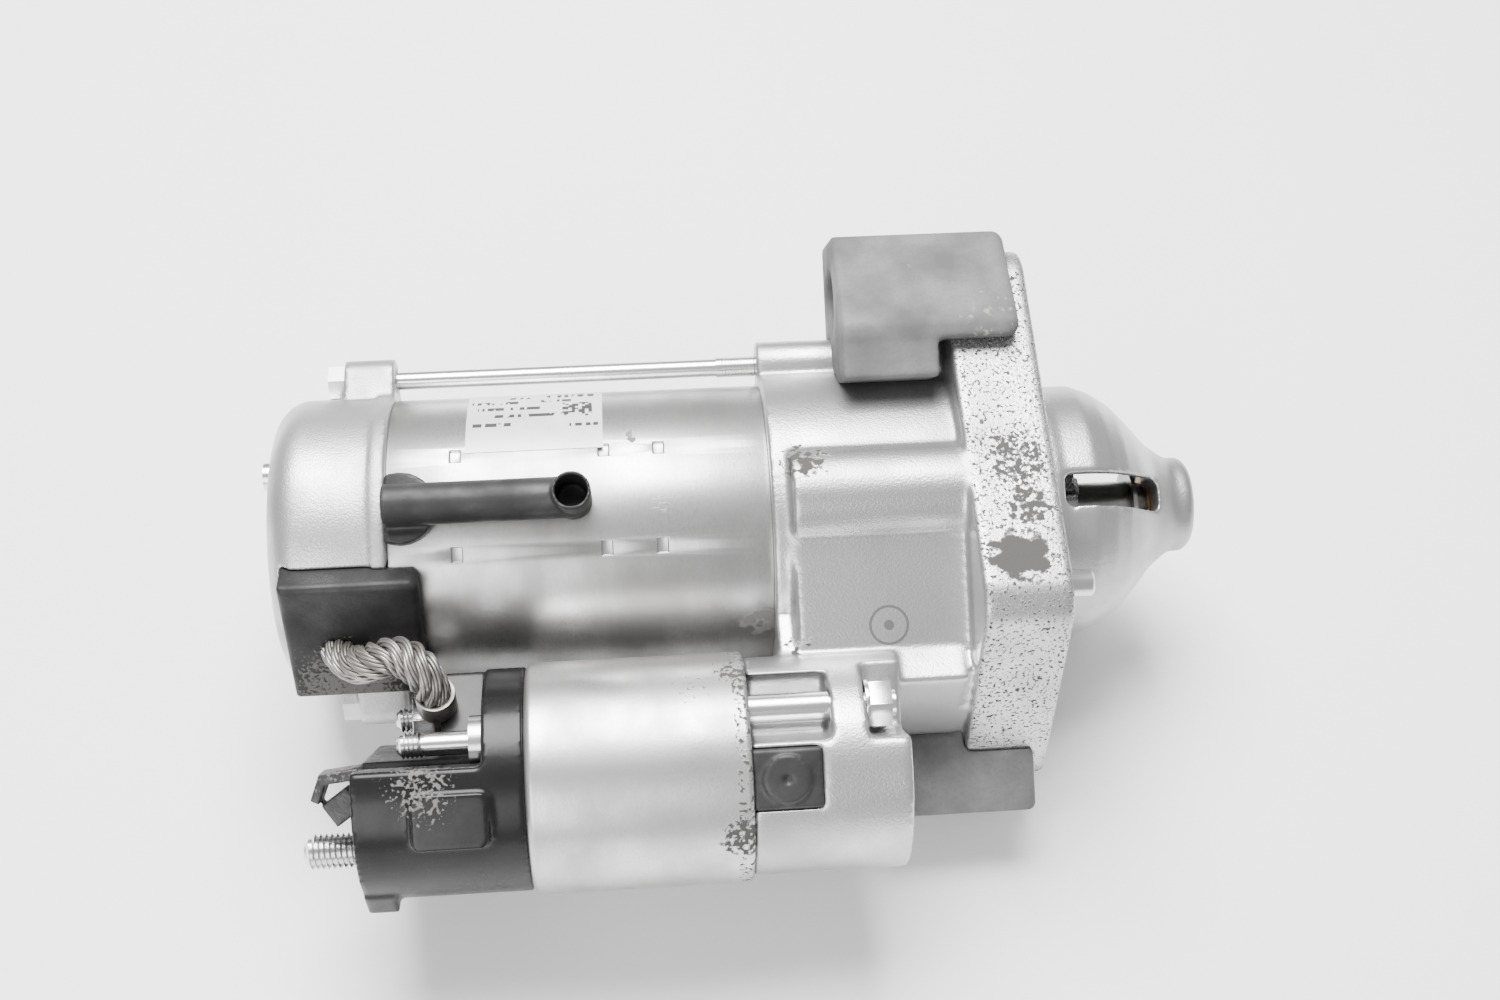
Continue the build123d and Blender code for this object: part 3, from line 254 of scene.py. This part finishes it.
# %% Cast finishes
flange_dirt = (
    band(-20.5, -0.3, 0.8, 0.36),
    patch((-11.5, -36.7, 37.2), 10.0, 3.0, 1.0),
    patch((-9.0, -12.0, 40.0), 17.0, 1.2, 0.6),
    patch((-8.0, -24.0, 39.0), 12.0, 1.6, 0.65),
    patch((-59.7, -9.0, 40.4), 12.0, 2.2, 0.7),
    patch((-62.7, -45.2, 14.0), 9.0, 2.0, 0.45),
    ring_stamp((-40.6, -41.5, 17.1), 4.4),
)
housing_cast = finish(
    "cast_housing", grey(0.56), grey(0.36), 0.36, 0.92, 26, 0.55, 0.12, dirt_and_shade=flange_dirt, dirt_and_shade_grey=0.05
)
cover_cast = finish(
    "cast_rear_cover", grey(0.54), grey(0.36), 0.42, 0.9, 18, 0.5, 0.14,
    dirt_and_shade=(patch((-158.0, 30.0, 20.0), 12.0, 1.5, 0.25), patch((-160.0, -30.0, 22.0), 14.0, 1.2, 0.35)),
    dirt_and_shade_grey=0.12,
)
print("cast finishes", housing_cast.name, cover_cast.name)

# %% [markdown]
# ## Zinc plated steel
# The motor's tube and the solenoid's case are rolled sheet with dull zinc on it. Zinc clouds over with
# handling, in soft patches that are longer round the tube than along it, and oil has crept over the case's
# front edge. A dark patch on the tube where it meets the housing's corner is a painted shadow.

# %% Sheet steel finishes
yoke_zinc = finish(
    "zinc_yoke", grey(0.56, 0.01), grey(0.30, 0.015), 0.34, 0.95, 34, 0.9, 0.02, pull=(1.6, 0.8, 0.8),
    dirt_and_shade=(
        patch((-98.8, 4.0, 34.8), 5.0, 1.6, 0.5),
        # painted shadow: a dark patch on the tube that stands for the shade at the housing's corner
        patch((-69.9, -33.8, 9.2), 9.0, 4.0, 0.75),
        patch((-92.5, -14.6, 31.8), 6.0, 0.7, 0.35),
    ),
    dirt_and_shade_grey=0.16,
)
case_zinc = finish(
    "zinc_case", grey(0.60, 0.01), grey(0.38, 0.012), 0.36, 0.92, 20, 0.7, 0.03, pull=(1.3, 0.9, 0.9),
    dirt_and_shade=(
        patch((-77.7, -55.6, 23.8), 10.0, 1.3, 0.6),
        patch((-77.7, -90.2, 12.0), 12.0, 1.4, 0.6),
        patch((-88.0, -60.0, 26.0), 14.0, 1.0, 0.28),
        band(-79.0, -75.4, 1.2, 0.45),
    ),
    dirt_and_shade_grey=0.05,
)
print("sheet finishes", yoke_zinc.name, case_zinc.name)

# %% [markdown]
# ## Rubber and moulded plastic
# The lug covers are grey rubber with a chalky bloom, the hose and the grommet black rubber. The solenoid's
# cap is glossy black plastic, with a crust of glittering dirt on its raised pad.

# %% Rubber and plastic finishes
cover_rubber = finish(
    "grey_lug_rubber", grey(0.15), grey(0.085), 0.68, 0.0, 14, 0.8, 0.08,
    dirt_and_shade=(patch((-12.0, 20.0, 50.0), 26.0, 2.5, 0.3), patch((-30.0, 36.0, 44.0), 22.0, 1.5, 0.25)),
    dirt_and_shade_grey=0.23,
    gloss=0.3,
)
black_rubber = finish("black_hose_rubber", grey(0.028), grey(0.012), 0.48, 0.0, 9, 0.7, 0.04, gloss=0.3)
grommet_rubber = finish(
    "black_grommet_rubber", grey(0.022), grey(0.008), 0.5, 0.0, 10, 0.9, 0.10,
    dirt_and_shade=(patch((-168.0, -44.0, 0.0), 24.0, 0.8, 0.8),), dirt_and_shade_grey=0.10, gloss=0.25,
)
cap_plastic = finish(
    "black_cap_plastic", grey(0.012), grey(0.006), 0.26, 0.0, 12, 1.2, 0.02,
    dirt_and_shade=(patch((-148.0, -80.0, 23.0), 17.0, 1.0, 0.5),), dirt_and_shade_grey=0.13, gloss=0.22,
)
inner_plastic = finish("black_inner_plastic", grey(0.03), grey(0.018), 0.45, 0.0, 8, 0.6, 0.03)
print("soft finishes made")

# %% [markdown]
# ## Bright steel, copper and the inner metals
# Bolts and terminals are bright plated. The inside of the motor has oiled gears, ground bearings, sintered
# bronze bushes, copper windings, stacked iron sheet, ferrite magnets and carbon brushes.

# %% Inner finishes
bright_steel = finish(
    "bright_plated_steel", grey(0.80), grey(0.58), 0.24, 1.0, 7, 0.4, 0.02, pull=(0.35, 1, 1)
)
tinned = finish("dull_tinned_copper", grey(0.34, 0.05), grey(0.15, 0.09), 0.42, 0.85, 5, 0.35, 0.05)
inner = {
    "copper": finish(
        "enamelled_copper", (0.62, 0.30, 0.16, 1), (0.40, 0.17, 0.08, 1), 0.3, 1.0, 8, 0.5, 0.04
    ),
    "gear_steel": finish("oiled_gear_steel", grey(0.42), grey(0.26, 0.03), 0.3, 1.0, 9, 0.5, 0.02),
    "pressed_steel": finish(
        "pressed_steel", grey(0.52), grey(0.38), 0.36, 1.0, 12, 0.7, 0.02, pull=(1, 1, 0.4)
    ),
    "bearing_steel": finish("ground_bearing_steel", grey(0.68), grey(0.56), 0.14, 1.0, 10, 0.3, 0.008),
    "bronze": finish("sintered_bronze", (0.50, 0.32, 0.15, 1), (0.34, 0.2, 0.09, 1), 0.4, 1.0, 6, 0.3, 0.04),
    "lamination": finish(
        "stacked_iron_sheet", grey(0.26), grey(0.13), 0.42, 0.8, 6, 0.5, 0.06, pull=(6, 1, 1)
    ),
    "ferrite": finish("ferrite_magnet", grey(0.09), grey(0.05), 0.55, 0.2, 10, 0.5, 0.05),
    "carbon": finish("brush_carbon", grey(0.06), grey(0.03, 0.05), 0.4, 0.3, 5, 0.3, 0.03),
    "black_moulding": inner_plastic,
    "tinned_copper": tinned,
    "plated_steel": bright_steel,
    "grey_rubber": cover_rubber,
    "black_rubber": black_rubber,
    "cast_aluminium": housing_cast,
    "zinc_steel": yoke_zinc,
}
print("finishes by slot", len(inner))

# %% [markdown]
# ## The rating label
# A silver film label bent round the tube. Its print is stood in for by plain bars and a block of random
# squares, laid out by station along the tube and by angle round it, so that nothing on it can be read.


# %% Label finish
def label_finish():
    material = bpy.data.materials.new("silver_label")
    material.use_nodes = True
    tree = material.node_tree
    shader = tree.nodes["Principled BSDF"]
    place = wire(tree, "ShaderNodeTexCoord", {}).outputs["Object"]
    split = wire(tree, "ShaderNodeSeparateXYZ", {0: place}).outputs
    station = maths(tree, "DIVIDE", split[0], MM)
    arc = maths(tree, "MULTIPLY", maths(tree, "ARCTAN2", split[2], split[1]), 35.1)
    ink = None
    # middle station, middle of the arc, half length and half height of each bar, in mm
    bars = [
        (-113.5, 30.2, 6.2, 1.5),
        (-125.0, 31.0, 3.2, 0.9),
        (-131.0, 34.6, 6.0, 1.0),
        (-117.0, 34.2, 4.0, 0.9),
        (-128.0, 38.4, 7.5, 0.8),
        (-122.5, 42.0, 9.0, 0.7),
        (-110.5, 46.6, 4.0, 0.6),
        (-131.5, 45.6, 5.0, 0.7),
    ]
    for middle, height, half_long, half_high in bars:
        along = maths(tree, "COMPARE", station, middle, half_long)
        across = maths(tree, "COMPARE", arc, height, half_high)
        bar = maths(tree, "MULTIPLY", along, across)
        ink = bar if ink is None else maths(tree, "MAXIMUM", ink, bar)
    gaps = maths(tree, "GREATER_THAN", noise(tree, wire(
        tree, "ShaderNodeMapping", {"Vector": place, "Scale": (1, 0.15, 0.15)}).outputs[0], 0.9, 0.0), 0.47)
    ink = maths(tree, "MULTIPLY", ink, gaps)
    cell = 0.8
    snapped = wire(tree, "ShaderNodeCombineXYZ", {
        0: maths(tree, "FLOOR", maths(tree, "DIVIDE", station, cell)),
        1: maths(tree, "FLOOR", maths(tree, "DIVIDE", arc, cell)),
    }).outputs[0]
    chance = wire(tree, "ShaderNodeTexWhiteNoise", {"Vector": snapped}).outputs[0]
    squares = maths(tree, "GREATER_THAN", chance, 0.5)
    block = maths(tree, "MULTIPLY", maths(tree, "COMPARE", station, -111.5, 3.6), maths(
        tree, "COMPARE", arc, 39.6, 3.6))
    ink = maths(tree, "MAXIMUM", ink, maths(tree, "MULTIPLY", block, squares))
    film = blend(tree, spread(tree, noise(tree, place, 9, 3.0), 0.35, 0.65), grey(0.78), grey(0.68))
    tree.links.new(blend(tree, ink, film, grey(0.04)), shader.inputs["Base Color"])
    tree.links.new(ramp(tree, ink, 0.38, 0.6), shader.inputs["Roughness"])
    shader.inputs["Metallic"].default_value = 0.25
    return material


label_film = label_finish()
print("label", label_film.name)

# %% [markdown]
# ## Finishes on the frame
# Every measured part takes the finish of its slot. Parts that are remade below get theirs with the new
# piece.

# %% Dress the frame
slots = {part["node"]: part["material_slot"] for part in frame["record"]["subparts"]}
own_finish = {"rating_label": label_film, "solenoid_case": case_zinc, "rear_cover": cover_cast}


def finish_of(name):
    return own_finish.get(name) or inner[slots[name]]


for name, node in nodes.items():
    node.data.materials.clear()
    node.data.materials.append(finish_of(name))
print("dressed", len(nodes), "parts")

# %% [markdown]
# ## Soft edges on castings and mouldings
# A die casting has no sharp edge, because molten metal and the mould's draft round them all. A voxel remesh
# melts a copy of the measured part into an even skin, a light smooth rounds its corners by about the
# voxel's size, and a thinning brings the triangle count back down. A bevel would be neater on a box, but it
# tears on the fine triangles where round bosses run into flat walls.


# %% Melt helper
def body_of(name):
    for body, members in frame["record"]["behaviour"]["bodies"].items():
        if name in members:
            return body
    raise ValueError(name)


def merged_copy(name):
    """A copy of a measured part with its loose triangles joined."""
    shell = bmesh.new()
    shell.from_mesh(nodes[name].data)
    bmesh.ops.remove_doubles(shell, verts=shell.verts, dist=0.002 * MM)
    mesh = bpy.data.meshes.new(name + "_skin")
    shell.to_mesh(mesh)
    shell.free()
    return mesh


def add_piece(mesh, name, stands_for, material, body):
    """Puts a finished mesh in the scene, in place of the measured parts it stands for."""
    piece = bpy.data.objects.new(name, mesh)
    bpy.context.scene.collection.objects.link(piece)
    mesh.materials.clear()
    mesh.materials.append(material)
    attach(piece, body)
    if stands_for:
        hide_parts(*stands_for)
    return piece


def baked(work):
    """The mesh of an object with its modifiers applied."""
    bpy.context.view_layer.update()
    return bpy.data.meshes.new_from_object(work.evaluated_get(bpy.context.evaluated_depsgraph_get()))


def melted(name, voxel_mm, rounds, most=150000):
    work = bpy.data.objects.new("work", merged_copy(name))
    bpy.context.scene.collection.objects.link(work)
    skin = work.modifiers.new("skin", "REMESH")
    skin.mode = "VOXEL"
    skin.voxel_size = voxel_mm * MM
    soften = work.modifiers.new("soften", "SMOOTH")
    soften.factor = 0.5
    soften.iterations = rounds
    work.data = baked(work)
    work.modifiers.clear()
    triangles = 2 * len(work.data.polygons)
    thin = work.modifiers.new("thin", "DECIMATE")
    thin.ratio = min(1.0, most / triangles)
    mesh = baked(work)
    bpy.data.objects.remove(work)
    mesh.shade_smooth()
    piece = add_piece(mesh, name + "_soft", [name], finish_of(name), body_of(name))
    print("melted", name, triangles, "->", len(mesh.polygons))
    return piece


# %% Melt the castings and mouldings
own_finish.update({"lead_grommet": grommet_rubber, "solenoid_cap": cap_plastic})
for name, voxel_mm, rounds in (
    ("drive_housing", 0.8, 5),
    ("rear_cover", 0.8, 4),
    ("upper_lug_cover", 0.8, 5),
    ("lower_lug_cover", 0.8, 5),
    ("lead_grommet", 0.6, 4),
    ("drain_hose", 0.45, 4),
    ("bracket_plug", 0.5, 4),
    ("solenoid_cap", 0.6, 3),
):
    melted(name, voxel_mm, rounds)

# %% [markdown]
# ## Eased edges on turned and pressed parts
# Nuts, bolt heads and sheet edges are crisp but never razor sharp. A narrow bevel on edges that turn by
# more than 35 degrees catches the light as a real edge does.


# %% Ease helper
def eased(name, width_mm):
    work = bpy.data.objects.new("work", merged_copy(name))
    bpy.context.scene.collection.objects.link(work)
    edge = work.modifiers.new("edge", "BEVEL")
    edge.width = width_mm * MM
    edge.segments = 2
    edge.limit_method = "ANGLE"
    edge.angle_limit = math.radians(35)
    edge.harden_normals = False
    mesh = baked(work)
    bpy.data.objects.remove(work)
    mesh.shade_smooth()
    mesh.set_sharp_from_angle(angle=math.radians(32))
    piece = add_piece(mesh, name + "_eased", [name], finish_of(name), body_of(name))
    print("eased", name, len(mesh.polygons))
    return piece


# %% Ease the fasteners and the case
for name, width_mm in (
    ("solenoid_case", 0.8),
    ("yoke_tube", 0.25),
    ("motor_nut", 0.35),
    ("solenoid_nuts", 0.35),
    ("locating_dowel", 0.25),
    ("lead_terminal", 0.3),
):
    eased(name, width_mm)

# %% [markdown]
# ## Rolled threads
# A rolled thread is a V that climbs its bar by one pitch each turn. Blender's spin turns a shape round an
# axis, and with a lift at each step the same operator sweeps the V into a helix. Its ends are closed
# afterwards.


# %% Thread helper
def add_thread(shell, tip_x, end_x, y, z, radius, pitch):
    """Sweeps a V ridge from tip_x to end_x round an axis along X. All sizes are in millimetres."""
    steps = 24
    depth = 0.6 * pitch
    outline = [
        shell.verts.new(Vector((tip_x + along * pitch, y, z + level)) * MM)
        for along, level in (
            (0.0, radius - depth),
            (0.5, radius),
            (1.0, radius - depth),
            (0.5, radius - depth - 0.3),
        )
    ]
    face = shell.faces.new(outline)
    turns = (end_x - tip_x - pitch) / pitch
    count = round(turns * steps)
    bmesh.ops.spin(
        shell,
        geom=[face, *face.edges, *face.verts],
        cent=Vector((tip_x, y, z)) * MM,
        axis=(1, 0, 0),
        dvec=(pitch / steps * MM, 0, 0),
        angle=math.radians(360) * turns,
        steps=count,
        use_duplicate=False,
    )


def bar(shell, low_x, high_x, y, z, radius, tip_radius=None):
    """A round bar along X from low_x to high_x, with its low end at tip_radius if one is given."""
    centre = Matrix.Translation(Vector(((low_x + high_x) / 2, y, z)) * MM)
    place = centre @ Matrix.Rotation(math.radians(90), 4, "Y")
    bmesh.ops.create_cone(
        shell, cap_ends=True, segments=48, radius1=(tip_radius or radius) * MM, radius2=radius * MM,
        depth=(high_x - low_x) * MM, matrix=place,
    )


def finish_bars(shell, name, stands_for, material, body="housing"):
    holes = [edge for edge in shell.edges if edge.is_boundary]
    if holes:
        bmesh.ops.holes_fill(shell, edges=holes)
    bmesh.ops.recalc_face_normals(shell, faces=shell.faces)
    mesh = bpy.data.meshes.new(name)
    shell.to_mesh(mesh)
    shell.free()
    mesh.shade_smooth()
    mesh.set_sharp_from_angle(angle=math.radians(30))
    print(name, len(mesh.polygons), "faces")
    return add_piece(mesh, name, stands_for, material, body)


# %% [markdown]
# The two power studs and the trigger stud stick out of the cap. Each is a plain bar at the thread's root,
# the helix over it, and a plain shank where the real one has no thread.

# %% Studs on the solenoid cap
battery_low, battery_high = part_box("battery_stud")
motor_low, motor_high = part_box("motor_stud")
trigger_low, trigger_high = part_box("trigger_terminal")
block_x, nut_front_x, neck_x = -163.2, -147.2, -148.0


def stud(name, y, z, radius, pitch, tip_x, thread_end_x, back_x, shank=None):
    root = radius - 0.6 * pitch
    shell = bmesh.new()
    bar(shell, tip_x, tip_x + 0.8, y, z, root, root - 0.7)
    bar(shell, tip_x + 0.8, thread_end_x + 0.2, y, z, root)
    add_thread(shell, tip_x + 0.5, thread_end_x, y, z, radius, pitch)
    for low_x, high_x, wide in shank or ((thread_end_x, back_x, radius),):
        bar(shell, low_x, high_x, y, z, wide)
    return finish_bars(shell, name + "_threaded", [name], bright_steel)


stud("battery_stud", -80.9, -4.0, 4.0, 1.25, battery_low[0] / MM, block_x, battery_high[0] / MM)
stud("motor_stud", -51.3, 1.6, 3.0, 1.0, motor_low[0] / MM, nut_front_x, motor_high[0] / MM)
cap_floor_x = trigger_high[0] / MM - 6.0
stud(
    "trigger_terminal", -65.5, 15.8, 3.0, 1.0, trigger_low[0] / MM, neck_x, trigger_high[0] / MM,
    shank=((neck_x, cap_floor_x - 3, 2.7), (cap_floor_x - 3, cap_floor_x, 6.0)),
)

# %% [markdown]
# The long bolts that clamp the motor show rolled thread where they enter the housing. The measured bolts
# stay, and the thread is a sleeve of ridge over each.

# %% Threads on the long bolts
bolt_circle = 40.0
lug_turn = math.radians(34.35)
shell = bmesh.new()
for side in (1, -1):
    y, z = side * bolt_circle * math.cos(lug_turn), side * bolt_circle * math.sin(lug_turn)
    add_thread(shell, -75.5, -66.4, y, z, 2.72, 0.8)
finish_bars(shell, "long_bolt_threads", [], bright_steel)

# %% [markdown]
# ## The stranded lead
# A short rope of tinned copper carries the current from the solenoid into the motor. Its middle line is the
# same route as the measured lead. Six strands of fine wires wind round a seventh, so each wire is a thin
# tube that follows the route, wound once with its strand and once more within it.

# %% Lead route
grommet_angle = math.radians(161.5)
exit_angle = math.radians(165.5)
exit_level = 36.5 / math.cos(math.radians(4.0))
lean = math.radians(30.0)
exit_run = 8.0
barrel = Vector((-146.4, -51.6, 9.4))
exit_point = Vector((-170.5, exit_level * math.cos(exit_angle), exit_level * math.sin(exit_angle)))
outward = Vector((0.0, math.cos(grommet_angle), math.sin(grommet_angle)))
out = Vector((math.sin(lean), 0.0, 0.0)) + outward * math.cos(lean)
route_points = [
    exit_point,
    exit_point + out * exit_run,
    Vector((-160.0, -44.3, 17.0)),
    Vector((-153.0, -44.0, 20.0)),
    Vector((barrel[0], -51.6, 20.0)),
    barrel,
]
line = bpy.data.curves.new("lead_route", "CURVE")
line.dimensions = "3D"
line.resolution_u = 24
spline = line.splines.new("NURBS")
spline.points.add(len(route_points) - 1)
for knot, point in zip(spline.points, route_points):
    knot.co = (*(point * MM), 1.0)
spline.order_u = 3
spline.use_endpoint_u = True
guide = bpy.data.objects.new("lead_route", line)
bpy.context.scene.collection.objects.link(guide)
bpy.context.view_layer.update()
route = [v.co.copy() for v in bpy.data.meshes.new_from_object(guide).vertices]
bpy.data.objects.remove(guide)
lead_length = sum((b - a).length for a, b in zip(route, route[1:]))
print("lead route", len(route), "points,", round(lead_length / MM, 1), "mm")

# %% Wind the strands
strand_orbit, strand_twist = 2.45, 1.9
wire_orbit, wire_radius, wires = 0.95, 0.46, 8
rope = bpy.data.curves.new("lead_strands", "CURVE")
rope.dimensions = "3D"
rope.bevel_depth = wire_radius * MM
rope.bevel_resolution = 1
rope.use_fill_caps = True


def wound(strand, strand_level, turn_in_strand, level):
    """One wire's points: strand_level off the route, then level off its strand, both turning as they go."""
    points, travelled = [], 0.0
    heading = (route[1] - route[0]).normalized()
    side = heading.orthogonal().normalized()
    for i, here in enumerate(route):
        ahead = route[min(i + 1, len(route) - 1)] - route[max(i - 1, 0)]
        side = (side - ahead.normalized() * side.dot(ahead.normalized())).normalized()
        up = ahead.normalized().cross(side)
        travelled += (here - route[i - 1]).length if i else 0.0
        share = travelled / lead_length
        big = strand + math.tau * strand_twist * share
        small = turn_in_strand - math.tau * strand_twist * 1.5 * share
        loose = 1.0 + 0.28 * math.sin(math.pi * share)
        off = side * math.cos(big) + up * math.sin(big)
        turned_off = side * math.cos(small + big) + up * math.sin(small + big)
        points.append(here + off * strand_level * loose * MM + turned_off * level * loose * MM)
    return points


for k in range(7):
    strand_level = 0.0 if k == 6 else strand_orbit
    for w in range(wires + 1):
        level = 0.0 if w == wires else wire_orbit
        points = wound(math.tau * k / 6, strand_level, math.tau * w / wires, level)
        spline = rope.splines.new("POLY")
        spline.points.add(len(points) - 1)
        for knot, point in zip(spline.points, points):
            knot.co = (*point, 1.0)
            knot.radius = 1.15 if w == wires else 1.0
work = bpy.data.objects.new("work", rope)
bpy.context.scene.collection.objects.link(work)
strands = baked(work)
bpy.data.objects.remove(work)
strands.shade_smooth()
add_piece(strands, "lead_strands", ["motor_lead"], tinned, "housing")
print("lead strands", len(strands.polygons), "faces")

# %% [markdown]
# ## The return spring
# The spring stands between the fixed core and the plunger, and is squeezed as the plunger is pulled in. A
# copy of the measured coil, with a mesh of its own, stands in for it.

# %% Return spring
coil = merged_copy("plunger_spring")
coil.shade_smooth()
spring = add_piece(coil, "return_spring", ["plunger_spring"], finish_of("plunger_spring"), "housing")
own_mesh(spring)

# %% [markdown]
# ## The broken clip
# A plastic clip once held a connector at the end of the cap. Only its stump is left: an arm, a bent lip and
# a rounded lug below them. Three rough blocks that overlap are melted into one lump, as the snapped
# moulding is.

# %% Clip stump
lug_along = Vector((0.0, math.cos(lug_turn), math.sin(lug_turn)))
lug_up = Vector((0.0, -math.sin(lug_turn), math.cos(lug_turn)))
axis_place = Vector((0.0, -67.3, 0.0))


def add_block(shell, x, along, up, sizes, tilt):
    """A block at a station, placed from the solenoid's axis along and up from the plane of the lugs."""
    frame_turn = Matrix((Vector((1, 0, 0)), lug_along, lug_up)).transposed().to_4x4()
    centre = (Vector((x, 0, 0)) + axis_place + lug_along * along + lug_up * up) * MM
    place = Matrix.Translation(centre) @ frame_turn @ Matrix.Rotation(math.radians(tilt), 4, "Z")
    bmesh.ops.create_cube(shell, size=1.0, matrix=place @ Matrix.Diagonal((*(v * MM for v in sizes), 1.0)))


shell = bmesh.new()
add_block(shell, -166.5, 5.0, 14.0, (9.0, 2.6, 8.0), 6)
add_block(shell, -171.0, 2.5, 14.0, (2.2, 6.5, 7.0), -20)
add_block(shell, -166.5, -2.0, 13.0, (7.0, 6.0, 5.0), 35)
stump_mesh = bpy.data.meshes.new("stump")
shell.to_mesh(stump_mesh)
shell.free()
work = bpy.data.objects.new("work", stump_mesh)
bpy.context.scene.collection.objects.link(work)
skin = work.modifiers.new("skin", "REMESH")
skin.mode = "VOXEL"
skin.voxel_size = 0.35 * MM
soften = work.modifiers.new("soften", "SMOOTH")
soften.factor = 0.5
soften.iterations = 6
stump = baked(work)
bpy.data.objects.remove(work)
stump.shade_smooth()
clip_plastic = finish(
    "snapped_clip_plastic", grey(0.02), grey(0.01), 0.45, 0.0, 4, 0.8, 0.2,
    dirt_and_shade=(patch((-168.0, -68.0, 14.0), 14.0, 0.9, 0.7),), dirt_and_shade_grey=0.12,
)
add_piece(stump, "broken_clip", [], clip_plastic, "housing")
print("clip stump", len(stump.polygons), "faces")

# %% [markdown]
# ## The floor and the light
# A plain pale floor, a pale room, and two large soft lamps: one overhead from the back, whose reflection
# runs along the round tubes, and a weaker one from the front that opens the shadows.

# %% Floor
low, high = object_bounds()
middle = (Vector(low) + Vector(high)) / 2
floor_shell = bmesh.new()
bmesh.ops.create_grid(floor_shell, x_segments=1, y_segments=1, size=3.0)
bmesh.ops.translate(floor_shell, verts=floor_shell.verts, vec=(middle[0], middle[1], low[2] - 0.002))
floor_mesh = bpy.data.meshes.new("floor")
floor_shell.to_mesh(floor_mesh)
floor_shell.free()
floor_mesh.materials.append(finish("pale_floor", grey(0.96), grey(0.93), 0.7, 0.0, 300, 4, 0.01))
floor = bpy.data.objects.new("floor", floor_mesh)
bpy.context.scene.collection.objects.link(floor)

# %% Lights
world = bpy.data.worlds.new("room")
world.use_nodes = True
world.node_tree.nodes["Background"].inputs["Color"].default_value = grey(1.0)
world.node_tree.nodes["Background"].inputs["Strength"].default_value = 0.62
bpy.context.scene.world = world


def lamp(name, place, width, power):
    """A square soft lamp that faces the motor's middle."""
    data = bpy.data.lights.new(name, "AREA")
    data.shape = "SQUARE"
    data.size = width
    data.energy = power
    light = bpy.data.objects.new(name, data)
    light.location = place
    light.rotation_mode = "QUATERNION"
    light.rotation_quaternion = (middle - Vector(place)).to_track_quat("-Z", "Y")
    bpy.context.scene.collection.objects.link(light)


lamp("overhead", (-0.15, 0.30, 0.85), 0.6, 34.0)
lamp("front", (-0.45, -0.75, 0.45), 0.6, 7.0)
print("lights placed")
